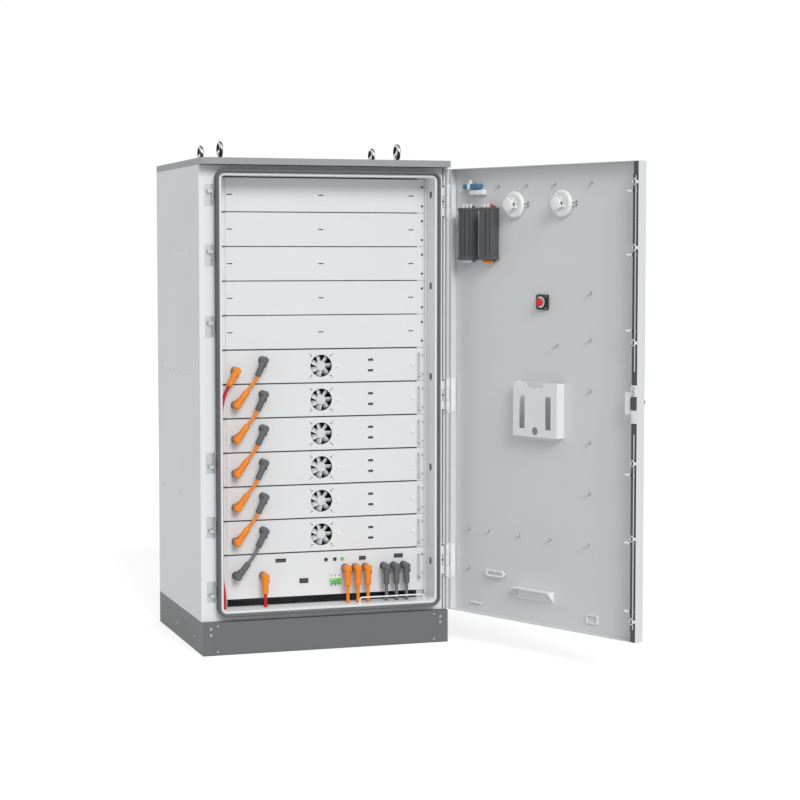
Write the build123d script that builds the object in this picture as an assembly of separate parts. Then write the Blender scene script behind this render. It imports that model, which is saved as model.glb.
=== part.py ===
"""Battery rack cabinet: sheet-metal enclosure, six rack batteries, control box and swing door.

Frame: millimetres, origin at the centre of the body's footprint on the floor, +X to the right
seen from the front, +Y into the cabinet, +Z up.  The front face looks along -Y.
Door pieces are drawn closed and then swung about the hinge pin to the open rest position.
"""
from build123d import *
import math
import os

# ---------------------------------------------------------------- enclosure
WIDTH = 1045.0               # over the side walls
DEPTH = 825.0                # body, front face to rear wall
PLINTH_HEIGHT = 135.0
BODY_TOP = 1973.0            # underside of the roof canopy
ROOF_HEIGHT = 27.0
SHEET = 2.0                  # folded sheet metal
PLINTH_SHEET = 3.0
PLINTH_PROUD = 28.5          # plinth front ahead of the body face
POST_FRONT_LEG = 53.0
POST_SIDE_LEG = 138.0
PLATE_SPLIT_Y = 42.0         # joint between the two cable-entry plates of a side
EMBOSS = 1.2                 # depth of the knockout rings

# ---------------------------------------------------------------- door opening and seal
OPEN_LEFT_MARGIN = 83.5
OPEN_RIGHT_MARGIN = 62.5
OPEN_BOTTOM_MARGIN = 45.0
OPEN_TOP_MARGIN = 42.0
RIM_PROUD = 39.5             # rim lip ahead of the body face
RIM_LIP = 10.0
RIM_RADIUS = 24.0
JAMB_DEPTH = 107.0           # rim lip back to the rack plane
SEAL_WIDTH = 13.0
SEAL_TAIL = 12.0             # seal starts this far ahead of the body face
SEAL_GAP = 0.5               # seal to closed door skin

# ---------------------------------------------------------------- rack
RACK_SHIFT = -1.9            # rack centre from opening centre
RACK_TOP_GAP = 3.6
PANEL_WIDTH = 815.1
EAR_WIDTH = 34.0
EAR_SHEET = 2.0
PANEL_RAISE = 3.0
UNIT_PITCH = 139.58
UNIT_GAP = 2.0
BLANK_COUNT = 5
MODULE_COUNT = 6
CONTROL_HEIGHT = 182.8
CASE_WALL = 1.5
CASE_DEPTH = 600.0
CASE_SIDE_GAP = 3.0          # case side to panel edge
CASE_HEIGHT_GAP = 4.8        # case top or bottom to unit boundary
SCREW_DROP_HIGH = 33.1       # ear screws below the unit's top edge
SCREW_DROP_LOW = 111.5
SCREW_SIZE = 5.5
SCREW_HEAD = 3.5
RIGHT_SCREW_X = 23.4         # ear screw from the panel edge
REAR_POST_Y = 300.0
POST_DEPTH = 40.0
RUNNER_SHEET = 2.0
RAIL_HEIGHT = 40.0
RAIL_LEVELS = (1635.0, 1129.0, 620.0)

# ---------------------------------------------------------------- fans
FAN_X = 1.7
FAN_SIZE = 92.0
FAN_DEPTH = 25.0
FAN_BORE = 90.0
FAN_HOLE = 91.0
FAN_HUB = 40.0
FAN_TIP_GAP = 1.4
FAN_BLADES = 7
FAN_SHAFT = 2.5
SHAFT_CLEARANCE = 0.05
BLADE_CHORD = 27.0
BLADE_PITCH = 42.0
BLADE_SHEET = 1.6
FAN_SCREW_SPACING = 82.5

# ---------------------------------------------------------------- plugs and cables
PLUG_STANDOFF = 45.0         # barrel axis ahead of the panel
PLUG_LENGTH = 71.0           # head centre to barrel end
PLUG_HEAD = 15.0
PLUG_BASE = 17.0
PLUG_BARREL = 12.8
CABLE_RADIUS = 7.0
GREY_X = -249.0
GREY_RISE = 28.5             # above the unit's centre
GREY_ANGLE = 244.0
ORANGE_X = -364.5
ORANGE_RISE = -12.5
ORANGE_ANGLE = 53.2
POSITIVE_ANGLE = 241.0
BOX_GREY_RISE = 8.6
BOX_GREY_ANGLE = 50.9
BOX_RED_X = -250.0
BOX_RED_RISE = 3.4
OUTLET_RISE = 19.4
OUTLET_PITCH = 43.7
ORANGE_OUTLET_X = 101.0
GREY_OUTLET_X = 269.0
OUTLETS = 3
COUPLER_BODY = 14.0
COUPLER_DROP = 16.0

# ---------------------------------------------------------------- door, hinges and lock
DOOR_OPEN = 113.43           # rest angle, 0 is closed
DOOR_STANDOFF = 14.0         # return lips ahead of the body face when closed
DOOR_DEPTH = 43.4
DOOR_SHEET = 2.5
DOOR_TOP_GAP = 5.8
DOOR_BOTTOM_GAP = 1.6
DOOR_HINGE_GAP = 1.0         # from the right side wall plane
DOOR_LIP_HINGE = 16.0
DOOR_LIP_FREE = 25.0
PIN_OUT = 2.5                # hinge pin outside the right wall
PIN_AHEAD = 12.5             # hinge pin ahead of the body face
PIN_RADIUS = 4.0
PIN_CLEARANCE = 0.05
KNUCKLE = 8.5
HINGE_LENGTH = 138.0
HINGE_LEVELS = (1834.0, 1033.0, 342.0)
HINGE_MIDDLE = 48.0
HINGE_GAP = 0.5
KNUCKLE_ROOM = 3.5           # notch in the door's edge around each knuckle
LEAF = 3.0
KEEPER_HIGH = (1853.0, 1613.0, 1327.0)
KEEPER_LOW = (779.0, 519.0, 256.0)
KEEPER_X = 41.0              # roller centre from the left wall plane
KEEPER_SHEET = 1.5
KEEPER_HALF = 21.0
ROLLER_RADIUS = 5.5
ROLLER_WIDTH = 16.0
ROLLER_AHEAD = 7.5           # roller axis ahead of the body face
LOCK_TRAVEL = 14.0
ROD_WIDTH = 20.0
ROD_THICK = 5.4
ROD_EDGE = 3.0               # rod from the door's free edge
GUIDES_HIGH = (1888.0, 1641.0, 1282.0)
GUIDES_LOW = (824.0, 536.0, 219.0)
GUIDE_SHEET = 1.2
GUIDE_GAP = 0.3
GUIDE_HEIGHT = 12.0
LOCK_CENTRE = 1052.0
LOCK_HALF = 22.5
SPINDLE_IN = 45.0            # handle spindle from the free edge
LEVER_LENGTH = 142.0
LEVER_WIDTH = 24.0
LEVER_THICK = 12.0
LEVER_GAP = 30.0             # finger room between door and lever

# ---------------------------------------------------------------- plinth details
FOOT_SHEET = 5.0
COVER_LIFT = 0.6
ANCHOR_SPACING_X = 989.0
ANCHOR_SPACING_Y = 700.0
ANCHOR_RADIUS = 7.0
KNOCKOUT_Z = 57.0
FRONT_KNOCKOUTS = ((-95.0, 42.0), (15.0, 33.0), (95.0, 33.0))
REAR_KNOCKOUTS = ((-60.0, 42.0), (50.0, 42.0))
CORNER_BOLTS = (109.0, 85.0)
CORNER_BOLT_IN = 33.0
RAIL_SCREWS = ((162.0, -42.0, -238.0), (318.0, 162.0, -40.0, -239.0), (318.0, -40.0))

# ---------------------------------------------------------------- wall and roof details
LOUVRE_XS = (-330.0, -110.0, 110.0, 330.0)
LOUVRE_ROWS = 5
LOUVRE_PITCH = 22.0
LOUVRE_SLOT = 3.6
LOUVRE_LENGTH = 150.0
LOUVRE_MARGIN = 80.0
FLOOR_HATCH_HALF = 150.0
FLOOR_HATCH_Y = (180.0, 330.0)
CANOPY_RETURN = 18.0

# ---------------------------------------------------------------- lifting eyes
EYE_X = 382.0
EYE_YS = (-187.0, 168.0)
EYE_COLLAR = 20.0
EYE_COLLAR_HEIGHT = 6.0
EYE_NECK = 12.0
EYE_RING = 28.0              # centre line of the ring
EYE_BAR = 8.0
EYE_SHANK = 10.0
EYE_NUT = 17.0
EYE_THREAD = 16.0
EYE_HOLE_GAP = 0.5

# ---------------------------------------------------------------- jamb slots and cable bar
JAMB_SLOTS = (1862.0, 1486.0, 1110.0, 732.0, 338.0)
JAMB_SLOT_Y = -398.0
BAR_LEFT = 141.0
BAR_RIGHT = 421.0
BAR_HEIGHT = 24.0
BAR_RADIUS = 3.0

# ---------------------------------------------------------------- door studs
STUD_RADIUS = 3.5
STUD_LENGTH = 14.0
SPINDLE_RADIUS = 9.0
STUD_COLUMNS = (255.0, 414.0, 571.0, 767.0)
DOOR_STUDS = [(c, 1891.0) for c in STUD_COLUMNS] + [(c, 481.0) for c in (89.0, 204.0, 381.0, 555.0, 762.0)]
DOOR_STUDS += [(767.0, z) for z in (1466.0, 1285.0, 1084.0, 883.0, 682.0)] + [(586.0, 1257.0), (89.0, 317.0)]

# ---------------------------------------------------------------- door fittings
GATEWAYS = (70.0, 190.0)
GATEWAY_WIDTH = 64.0
GATEWAY_DEPTH = 50.0
GATEWAY_HEIGHT = 212.0
GATEWAY_BOTTOM = 1594.0
DETECTORS = (351.0, 615.0)
DETECTOR_RADIUS = 53.0
DETECTOR_Z = 1815.0
POCKET_START = 383.0
POCKET_WIDTH = 243.0
POCKET_HEIGHT = 217.0
POCKET_DEPTH = 42.0
POCKET_BOTTOM = 890.0
POCKET_WALL = 2.0
POCKET_NOTCH = 94.0
STOP_AT = 509.0
STOP_Z = 1427.0
STOP_PLATE = 12.0
STOP_STEM = 9.0
STOP_BUTTON = 16.75
STOP_TRAVEL = 4.0
SWITCH_START = 69.0
SWITCH_LENGTH = 92.0
SWITCH_Z = 1893.0
LOOP_START = 201.0
LOOP_LENGTH = 106.0
LOOP_Z = 313.0
SHELF_START = 367.0
SHELF_LENGTH = 208.0
SHELF_OUT = 39.0
SHELF_TOP = 271.0
SHELF_DROP = 45.0
TAB_START = 99.0
TAB_Z = 172.0
STAY_START = 755.0
STAY_Z = 190.0

# ---------------------------------------------------------------- unit front details
DASH_IN = 17.0
CELL_START = 60.0
LIGHT_X = 76.7
LIGHT_RADIUS = 7.5
CAP_X = 402.3
CAP_RADIUS = 7.5
PORT_X = 217.1
PORT_SPACING = 44.0
HANDLE_DROP = 3.0
HANDLE_IN = 10.0
HANDLE_OUT = 30.0
HANDLE_LENGTH = 96.0
HANDLE_BAR = 4.0

# ---------------------------------------------------------------- breaker, buttons and ports
BREAKER_LEFT = 34.0
BREAKER_POLES = 3
POLE_WIDTH = 17.0
BREAKER_NOSE = 47.0
BREAKER_Z = 269.0
TOGGLE_HUB = 9.0
TOGGLE_REST = 35.0           # paddles point down by this angle at rest
BUTTON_XS = (19.6, 57.6, 89.2)
BUTTON_DROP = 35.1
BUTTON_RADIUS = 7.5
BOX_PORTS = ((-174.0, 30.1, 48.0, 14.0), (177.0, 35.1, 33.0, 15.0), (334.9, 32.1, 43.0, 16.0), (-75.7, 118.5, 42.0, 19.0))

# ---------------------------------------------------------------- red cable
RED_DROP = 22.0              # red cable's run below the sill
RED_SHIFT = 10.0


NODES = {}


# ---------------------------------------------------------------- helpers
def block(x0, x1, y0, y1, z0, z1):
    """Box between two corners."""
    return Pos((x0 + x1) / 2, (y0 + y1) / 2, (z0 + z1) / 2) * Box(x1 - x0, y1 - y0, z1 - z0)


def rect(u0, u1, v0, v1, radius=0.0):
    """Rectangle between two corners, with rounded corners if a radius is given."""
    size = (u1 - u0, v1 - v0)
    shape = RectangleRounded(*size, radius) if radius else Rectangle(*size)
    return Pos((u0 + u1) / 2, (v0 + v1) / 2) * shape


def along_x(sketch, x0, x1):
    """Extrude a sketch drawn in (y, z) from x0 to x1."""
    return extrude(Plane(origin=(x0, 0, 0), x_dir=(0, 1, 0), z_dir=(1, 0, 0)) * sketch, x1 - x0)


def along_y(sketch, y0, y1):
    """Extrude a sketch drawn in (x, z) from y1 forward to y0."""
    return extrude(Plane(origin=(0, y1, 0), x_dir=(1, 0, 0), z_dir=(0, -1, 0)) * sketch, y1 - y0)


def along_z(sketch, z0, z1):
    """Extrude a sketch drawn in (x, y) from z0 to z1."""
    return extrude(Plane.XY.offset(z0) * sketch, z1 - z0)


def disc(u, v, radius):
    return Pos(u, v) * Circle(radius)


def hexagon(u, v, radius):
    return Pos(u, v) * RegularPolygon(radius, 6)


def tube(points, radii, radius):
    """Round bar or cable along straight runs joined by tangent arcs."""
    path = FilletPolyline(*points, radius=radii) if radii else Polyline(*points)
    start = Plane(origin=path @ 0, z_dir=path % 0)
    return sweep(start * Circle(radius), path=path)


def soft_radii(points):
    """Largest tangent arcs that a cable's runs allow."""
    radii = []
    for a, b, c in zip(points, points[1:], points[2:]):
        first, second = Vector(*b) - Vector(*a), Vector(*c) - Vector(*b)
        half_turn = math.radians(first.get_angle(second)) / 2
        radii.append(0.45 * min(first.length, second.length) / math.tan(half_turn))
    return radii


def solids_of(shape):
    if isinstance(shape, (list, tuple)):
        return [solid for item in shape for solid in solids_of(item)]
    return list(shape.solids())


def add(name, *shapes, door=False):
    """Keep the solids of one node; door pieces are swung open about the hinge pin."""
    solids = solids_of(shapes)
    if door:
        solids = [swung(solid) for solid in solids]
    NODES[name] = solids


# ---------------------------------------------------------------- derived places
LEFT, RIGHT = -WIDTH / 2, WIDTH / 2
FRONT, REAR = -DEPTH / 2, DEPTH / 2
OPEN_LEFT, OPEN_RIGHT = LEFT + OPEN_LEFT_MARGIN, RIGHT - OPEN_RIGHT_MARGIN
OPEN_BOTTOM, OPEN_TOP = PLINTH_HEIGHT + OPEN_BOTTOM_MARGIN, BODY_TOP - OPEN_TOP_MARGIN
RIM_FRONT = FRONT - RIM_PROUD
RACK_X = (OPEN_LEFT + OPEN_RIGHT) / 2 + RACK_SHIFT
RACK_Y = RIM_FRONT + JAMB_DEPTH          # front of the ears
PANEL_FRONT = RACK_Y - PANEL_RAISE
EAR_BACK = RACK_Y + EAR_SHEET
RACK_TOP = OPEN_TOP - RACK_TOP_GAP
PANEL_LEFT, PANEL_RIGHT = RACK_X - PANEL_WIDTH / 2, RACK_X + PANEL_WIDTH / 2
EAR_LEFT, EAR_RIGHT = PANEL_LEFT - EAR_WIDTH, PANEL_RIGHT + EAR_WIDTH
SCREW_XS = (PANEL_LEFT - RIGHT_SCREW_X, PANEL_RIGHT + RIGHT_SCREW_X)
MODULE_TOPS = [RACK_TOP - (BLANK_COUNT + i) * UNIT_PITCH for i in range(MODULE_COUNT)]
MODULE_ZS = [top - UNIT_PITCH / 2 for top in MODULE_TOPS]
CONTROL_TOP = RACK_TOP - (BLANK_COUNT + MODULE_COUNT) * UNIT_PITCH
CONTROL_BOTTOM = CONTROL_TOP - CONTROL_HEIGHT
CONTROL_Z = (CONTROL_TOP + CONTROL_BOTTOM) / 2
CASE_LEFT, CASE_RIGHT = PANEL_LEFT + CASE_SIDE_GAP, PANEL_RIGHT - CASE_SIDE_GAP
PLUG_Y = PANEL_FRONT - PLUG_STANDOFF
CANOPY_FRONT = FRONT - DOOR_STANDOFF - DOOR_DEPTH
ROOF_TOP = BODY_TOP + ROOF_HEIGHT
PLINTH_FRONT = FRONT - PLINTH_PROUD
PIN_X, PIN_Y = RIGHT + PIN_OUT, FRONT - PIN_AHEAD
LIP_Y = FRONT - DOOR_STANDOFF
SKIN_OUT = LIP_Y - DOOR_DEPTH
SKIN_IN = SKIN_OUT + DOOR_SHEET
DOOR_LEFT, DOOR_RIGHT = LEFT, RIGHT - DOOR_HINGE_GAP
DOOR_BOTTOM, DOOR_TOP = PLINTH_HEIGHT + DOOR_BOTTOM_GAP, BODY_TOP - DOOR_TOP_GAP
SHELF_Z = OPEN_BOTTOM
OUTLET_ZC = CONTROL_Z + OUTLET_RISE
SPINDLE_X = DOOR_LEFT + SPINDLE_IN
OUTLET_XS = [x + i * OUTLET_PITCH for x in (ORANGE_OUTLET_X, GREY_OUTLET_X) for i in range(OUTLETS)]


def swung(shape):
    """Turn a closed-door shape to the open rest position."""
    return Pos(PIN_X, PIN_Y, 0) * Rot(0, 0, DOOR_OPEN) * Pos(-PIN_X, -PIN_Y, 0) * shape


def door_x(distance):
    """X of a place on the closed door, measured from its hinge edge."""
    return DOOR_RIGHT - distance


# ---------------------------------------------------------------- plinth and walls
def make_plinth():
    t, front, side = PLINTH_SHEET, POST_FRONT_LEG, POST_SIDE_LEG
    posts, covers, entries, fixings = [], [], [], []
    for sx in (-1, 1):
        for y_outer, sy in ((PLINTH_FRONT, 1), (REAR, -1)):
            x_outer = sx * WIDTH / 2
            corner = rect(*sorted((x_outer, x_outer - sx * front)), *sorted((y_outer, y_outer + sy * t)))
            corner += rect(*sorted((x_outer, x_outer - sx * t)), *sorted((y_outer, y_outer + sy * side)))
            post = along_z(corner, 0, PLINTH_HEIGHT)
            foot = rect(*sorted((x_outer, x_outer - sx * front)), *sorted((y_outer, y_outer + sy * side)))
            foot -= disc(sx * ANCHOR_SPACING_X / 2, -sy * ANCHOR_SPACING_Y / 2, ANCHOR_RADIUS)
            post += along_z(foot, 0, FOOT_SHEET)
            posts.append(post)
    inner_left, inner_right = LEFT + front, RIGHT - front
    covers.append(block(inner_left, inner_right, PLINTH_FRONT, PLINTH_FRONT + SHEET, COVER_LIFT, PLINTH_HEIGHT))
    covers.append(block(inner_left, inner_right, REAR - SHEET, REAR, COVER_LIFT, PLINTH_HEIGHT))
    y_start, y_end = PLINTH_FRONT + side, REAR - side
    for sx in (-1, 1):
        x0, x1 = sorted((sx * WIDTH / 2, sx * (WIDTH / 2 - SHEET)))
        face = x0 if sx < 0 else x1
        for y0, y1, knockouts in ((y_start, PLATE_SPLIT_Y, FRONT_KNOCKOUTS), (PLATE_SPLIT_Y, y_end, REAR_KNOCKOUTS)):
            plate = block(x0, x1, y0, y1, COVER_LIFT, PLINTH_HEIGHT)
            for offset, radius in knockouts:
                ring = disc((y0 + y1) / 2 + offset, KNOCKOUT_Z, radius) - disc((y0 + y1) / 2 + offset, KNOCKOUT_Z, radius - 2)
                cut = sorted((face, face - sx * EMBOSS))
                plate -= along_x(ring, *cut)
            entries.append(plate)
    # fixings: corner bolts, cover screws, wall screws
    for sx in (-1, 1):
        for z in CORNER_BOLTS:
            x = sx * (WIDTH / 2 - CORNER_BOLT_IN)
            fixings.append(along_y(hexagon(x, z, 7.0), PLINTH_FRONT - 5.0, PLINTH_FRONT))
            fixings.append(along_y(hexagon(x, z, 7.0), REAR, REAR + 5.0))
        for z in (PLINTH_HEIGHT - 15.0, 15.0):
            x = sx * (WIDTH / 2 - front - 8.0)
            fixings.append(along_y(hexagon(x, z, 4.5), PLINTH_FRONT - 2.5, PLINTH_FRONT))
            fixings.append(along_y(hexagon(x, z, 4.5), REAR, REAR + 2.5))
        outer = sx * WIDTH / 2
        for y in (y_end - 12.0, PLATE_SPLIT_Y + 20.0, PLATE_SPLIT_Y - 20.0, y_start + 12.0):
            fixings.append(along_x(hexagon(y, KNOCKOUT_Z, 4.5), *sorted((outer, outer + sx * 2.5))))
        for level, ys in zip(RAIL_LEVELS, RAIL_SCREWS):
            for y in ys:
                fixings.append(along_x(hexagon(y, level, 4.5), *sorted((outer, outer + sx * 2.5))))
    add("plinth_corner_posts", posts)
    add("plinth_cover_plates", covers)
    add("plinth_cable_entry_plates", entries)
    add("casing_screws", fixings)


def make_walls():
    z0, z1 = PLINTH_HEIGHT, BODY_TOP
    for name, sx in (("side_wall_left", -1), ("side_wall_right", 1)):
        outer, inner = sx * WIDTH / 2, sx * (WIDTH / 2 - SHEET)
        add(name, block(*sorted((outer, inner)), FRONT, REAR, z0, z1))
    rear = rect(LEFT + SHEET, RIGHT - SHEET, z0, z1)
    for x in LOUVRE_XS:
        for z_low in (z0 + LOUVRE_MARGIN, z1 - LOUVRE_MARGIN - LOUVRE_ROWS * LOUVRE_PITCH):
            for row in range(LOUVRE_ROWS):
                z = z_low + row * LOUVRE_PITCH
                rear -= rect(x - LOUVRE_LENGTH / 2, x + LOUVRE_LENGTH / 2, z, z + LOUVRE_SLOT)
    add("rear_wall", along_y(rear, REAR - SHEET, REAR))
    floor = rect(LEFT + SHEET, RIGHT - SHEET, FRONT + SHEET, REAR - SHEET)
    for x in OUTLET_XS:
        floor -= disc(x, PLUG_Y, COUPLER_BODY)
    floor -= rect(-FLOOR_HATCH_HALF, FLOOR_HATCH_HALF, *FLOOR_HATCH_Y)
    add("floor_plate", along_z(floor, z0, z0 + SHEET))
    add("top_plate", block(LEFT + SHEET, RIGHT - SHEET, FRONT + SHEET, REAR - SHEET, z1 - SHEET, z1))
    canopy = block(LEFT, RIGHT, CANOPY_FRONT, REAR, z1, ROOF_TOP)
    canopy -= block(LEFT + SHEET, RIGHT - SHEET, CANOPY_FRONT + SHEET, REAR - SHEET, z1 - 1, ROOF_TOP - SHEET)
    canopy += block(LEFT, RIGHT, CANOPY_FRONT, CANOPY_FRONT + CANOPY_RETURN, z1, z1 + SHEET)
    for x in (-EYE_X, EYE_X):
        for y in EYE_YS:
            canopy -= along_z(disc(x, y, EYE_SHANK + EYE_HOLE_GAP), ROOF_TOP - SHEET - 1, ROOF_TOP + 1)
    canopy = chamfer(canopy.edges().filter_by(Axis.X).group_by(Axis.Z)[-1], 1.0)
    add("roof_canopy", canopy)


def make_eye_bolts():
    bolts = []
    for x in (-EYE_X, EYE_X):
        for y in EYE_YS:
            z = ROOF_TOP
            collar = along_z(disc(x, y, EYE_COLLAR), z, z + EYE_COLLAR_HEIGHT)
            neck = Pos(x, y, z + EYE_COLLAR_HEIGHT) * Cone(EYE_COLLAR * 0.8, EYE_BAR, EYE_NECK, align=(Align.CENTER, Align.CENTER, Align.MIN))
            ring_z = z + EYE_COLLAR_HEIGHT + EYE_RING + EYE_BAR + EYE_NECK / 2 - EYE_BAR / 2
            ring = Pos(x, y, ring_z) * Rot(0, 90, 0) * Torus(EYE_RING, EYE_BAR)
            shank = along_z(disc(x, y, EYE_SHANK), z - SHEET - EYE_THREAD, z)
            nut = along_z(hexagon(x, y, EYE_NUT), z - SHEET - EYE_THREAD, z - SHEET)
            bolts.append(collar + neck + ring + shank + nut)
    add("lifting_eye_bolts", bolts)


# ---------------------------------------------------------------- front frame, seal, keepers
def make_front_frame():
    t, lip = SHEET, RIM_LIP
    inner = (OPEN_LEFT, OPEN_RIGHT, OPEN_BOTTOM, OPEN_TOP)
    grow = lambda d: (inner[0] - d, inner[1] + d, inner[2] - d, inner[3] + d)
    opening = rect(*inner, RIM_RADIUS - lip)
    rim_outer = rect(*grow(lip), RIM_RADIUS)
    face = rect(LEFT + t, RIGHT - t, PLINTH_HEIGHT, BODY_TOP) - opening
    frame = along_y(face, FRONT, FRONT + t)
    frame += along_y(rim_outer - rect(*grow(lip - t), RIM_RADIUS - t), RIM_FRONT, FRONT)
    frame += along_y(rim_outer - opening, RIM_FRONT, RIM_FRONT + t)
    jamb = rect(*grow(t), RIM_RADIUS - lip + t) - opening
    frame += along_y(jamb, RIM_FRONT, RACK_Y)
    red_xs = (OPEN_LEFT + CABLE_RADIUS + 1.0 + RED_SHIFT, BOX_RED_X)
    for x in (*OUTLET_XS, *red_xs):
        frame -= along_z(disc(x, PLUG_Y, CABLE_RADIUS + 2.0), SHELF_Z - t - 1, SHELF_Z + 12)
    for z in JAMB_SLOTS:
        frame -= block(OPEN_RIGHT - 1, OPEN_RIGHT + t + 1, JAMB_SLOT_Y - 4, JAMB_SLOT_Y + 4, z - 15, z + 15)
    add("front_frame", frame)
    seal = rect(*grow(lip + SEAL_WIDTH), RIM_RADIUS + SEAL_WIDTH) - rim_outer
    add("door_seal", along_y(seal, SKIN_IN + SEAL_GAP, FRONT - SEAL_TAIL))
    foot = 16.0
    bar_y, bar_z = FRONT - 17.5, SHELF_Z + BAR_HEIGHT
    points = [(BAR_LEFT, bar_y, SHELF_Z), (BAR_LEFT, bar_y, bar_z), (BAR_RIGHT, bar_y, bar_z), (BAR_RIGHT, bar_y, SHELF_Z)]
    bar = tube(points, [12.0, 12.0], BAR_RADIUS)
    feet = [along_z(disc(x, bar_y, foot / 2), SHELF_Z, SHELF_Z + 3) for x in (BAR_LEFT, BAR_RIGHT)]
    add("cable_bar", bar + feet[0] + feet[1])


def make_keepers():
    keepers = []
    x_roller = LEFT + KEEPER_X
    cheek_x = x_roller + ROLLER_WIDTH / 2 + 2.0
    y_face, y_hook = FRONT, FRONT - ROLLER_AHEAD - ROLLER_RADIUS - 3.0
    for levels, sign in ((KEEPER_HIGH, 1), (KEEPER_LOW, -1)):
        for z in levels:
            base = block(LEFT + 23.5, cheek_x + 7.0, y_face - KEEPER_SHEET, y_face, z - 2 * KEEPER_HALF, z + 2 * KEEPER_HALF)
            cheek = block(cheek_x, cheek_x + 2.5, y_hook - 2.5, y_face, z - KEEPER_HALF, z + KEEPER_HALF)
            hook = block(x_roller - ROLLER_WIDTH / 2, cheek_x + 2.5, y_hook - 2.5, y_hook,
                         *sorted((z + sign * 8.0, z + sign * KEEPER_HALF)))
            keepers.append(base + cheek + hook)
    add("lock_keepers", keepers)


# ---------------------------------------------------------------- hinges
def make_hinges():
    frame_leaves, door_leaves = [], []
    half, mid = HINGE_LENGTH / 2, HINGE_MIDDLE / 2
    wall_in = DOOR_RIGHT - DOOR_SHEET
    clear = KNUCKLE + KNUCKLE_ROOM
    for z in HINGE_LEVELS:
        leaf = block(PIN_X - 47.0, RIGHT, FRONT - LEAF, FRONT, z - half, z + half)
        bridge = rect(PIN_X - KNUCKLE + 0.5, RIGHT, PIN_Y, FRONT)
        knuckle = disc(PIN_X, PIN_Y, KNUCKLE) + bridge
        for z0, z1 in ((z - half, z - mid - HINGE_GAP), (z + mid + HINGE_GAP, z + half)):
            leaf += along_z(knuckle, z0, z1)
        leaf += along_z(disc(PIN_X, PIN_Y, PIN_RADIUS), z - half - 3, z + half + 3)
        frame_leaves.append(leaf)
        eye = disc(PIN_X, PIN_Y, KNUCKLE) + rect(wall_in - LEAF, PIN_X - 2.0, PIN_Y - clear, PIN_Y)
        eye -= disc(PIN_X, PIN_Y, PIN_RADIUS + PIN_CLEARANCE)
        door_leaf = along_z(eye, z - mid, z + mid)
        door_leaf += block(wall_in - LEAF, wall_in, SKIN_IN + 4.0, PIN_Y - clear, z - half, z + half)
        door_leaves.append(door_leaf)
    add("hinge_frame_leaves", frame_leaves)
    add("hinge_door_leaves", door_leaves, door=True)


# ---------------------------------------------------------------- door
def make_door():
    t = DOOR_SHEET
    pan = block(DOOR_LEFT, DOOR_RIGHT, SKIN_OUT, LIP_Y, DOOR_BOTTOM, DOOR_TOP)
    pan -= block(DOOR_LEFT + t, DOOR_RIGHT - t, SKIN_IN, LIP_Y + 1, DOOR_BOTTOM + t, DOOR_TOP - t)
    pan += block(DOOR_LEFT, DOOR_LEFT + DOOR_LIP_FREE, LIP_Y - t, LIP_Y, DOOR_BOTTOM, DOOR_TOP)
    pan += block(DOOR_RIGHT - DOOR_LIP_HINGE, DOOR_RIGHT, LIP_Y - t, LIP_Y, DOOR_BOTTOM, DOOR_TOP)
    clear = KNUCKLE + KNUCKLE_ROOM
    for z in HINGE_LEVELS:
        half = HINGE_LENGTH / 2 + 4.0
        pan -= block(PIN_X - clear, DOOR_RIGHT + 1, PIN_Y - clear, LIP_Y + 1, z - half, z + half)
    for distance, z in DOOR_STUDS:
        pan += along_y(hexagon(door_x(distance), z, STUD_RADIUS), SKIN_IN, SKIN_IN + STUD_LENGTH)
    pan -= along_y(disc(SPINDLE_X, LOCK_CENTRE, SPINDLE_RADIUS + 0.5), SKIN_OUT - 1, SKIN_IN + 1)
    add("door_pan", pan, door=True)


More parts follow.
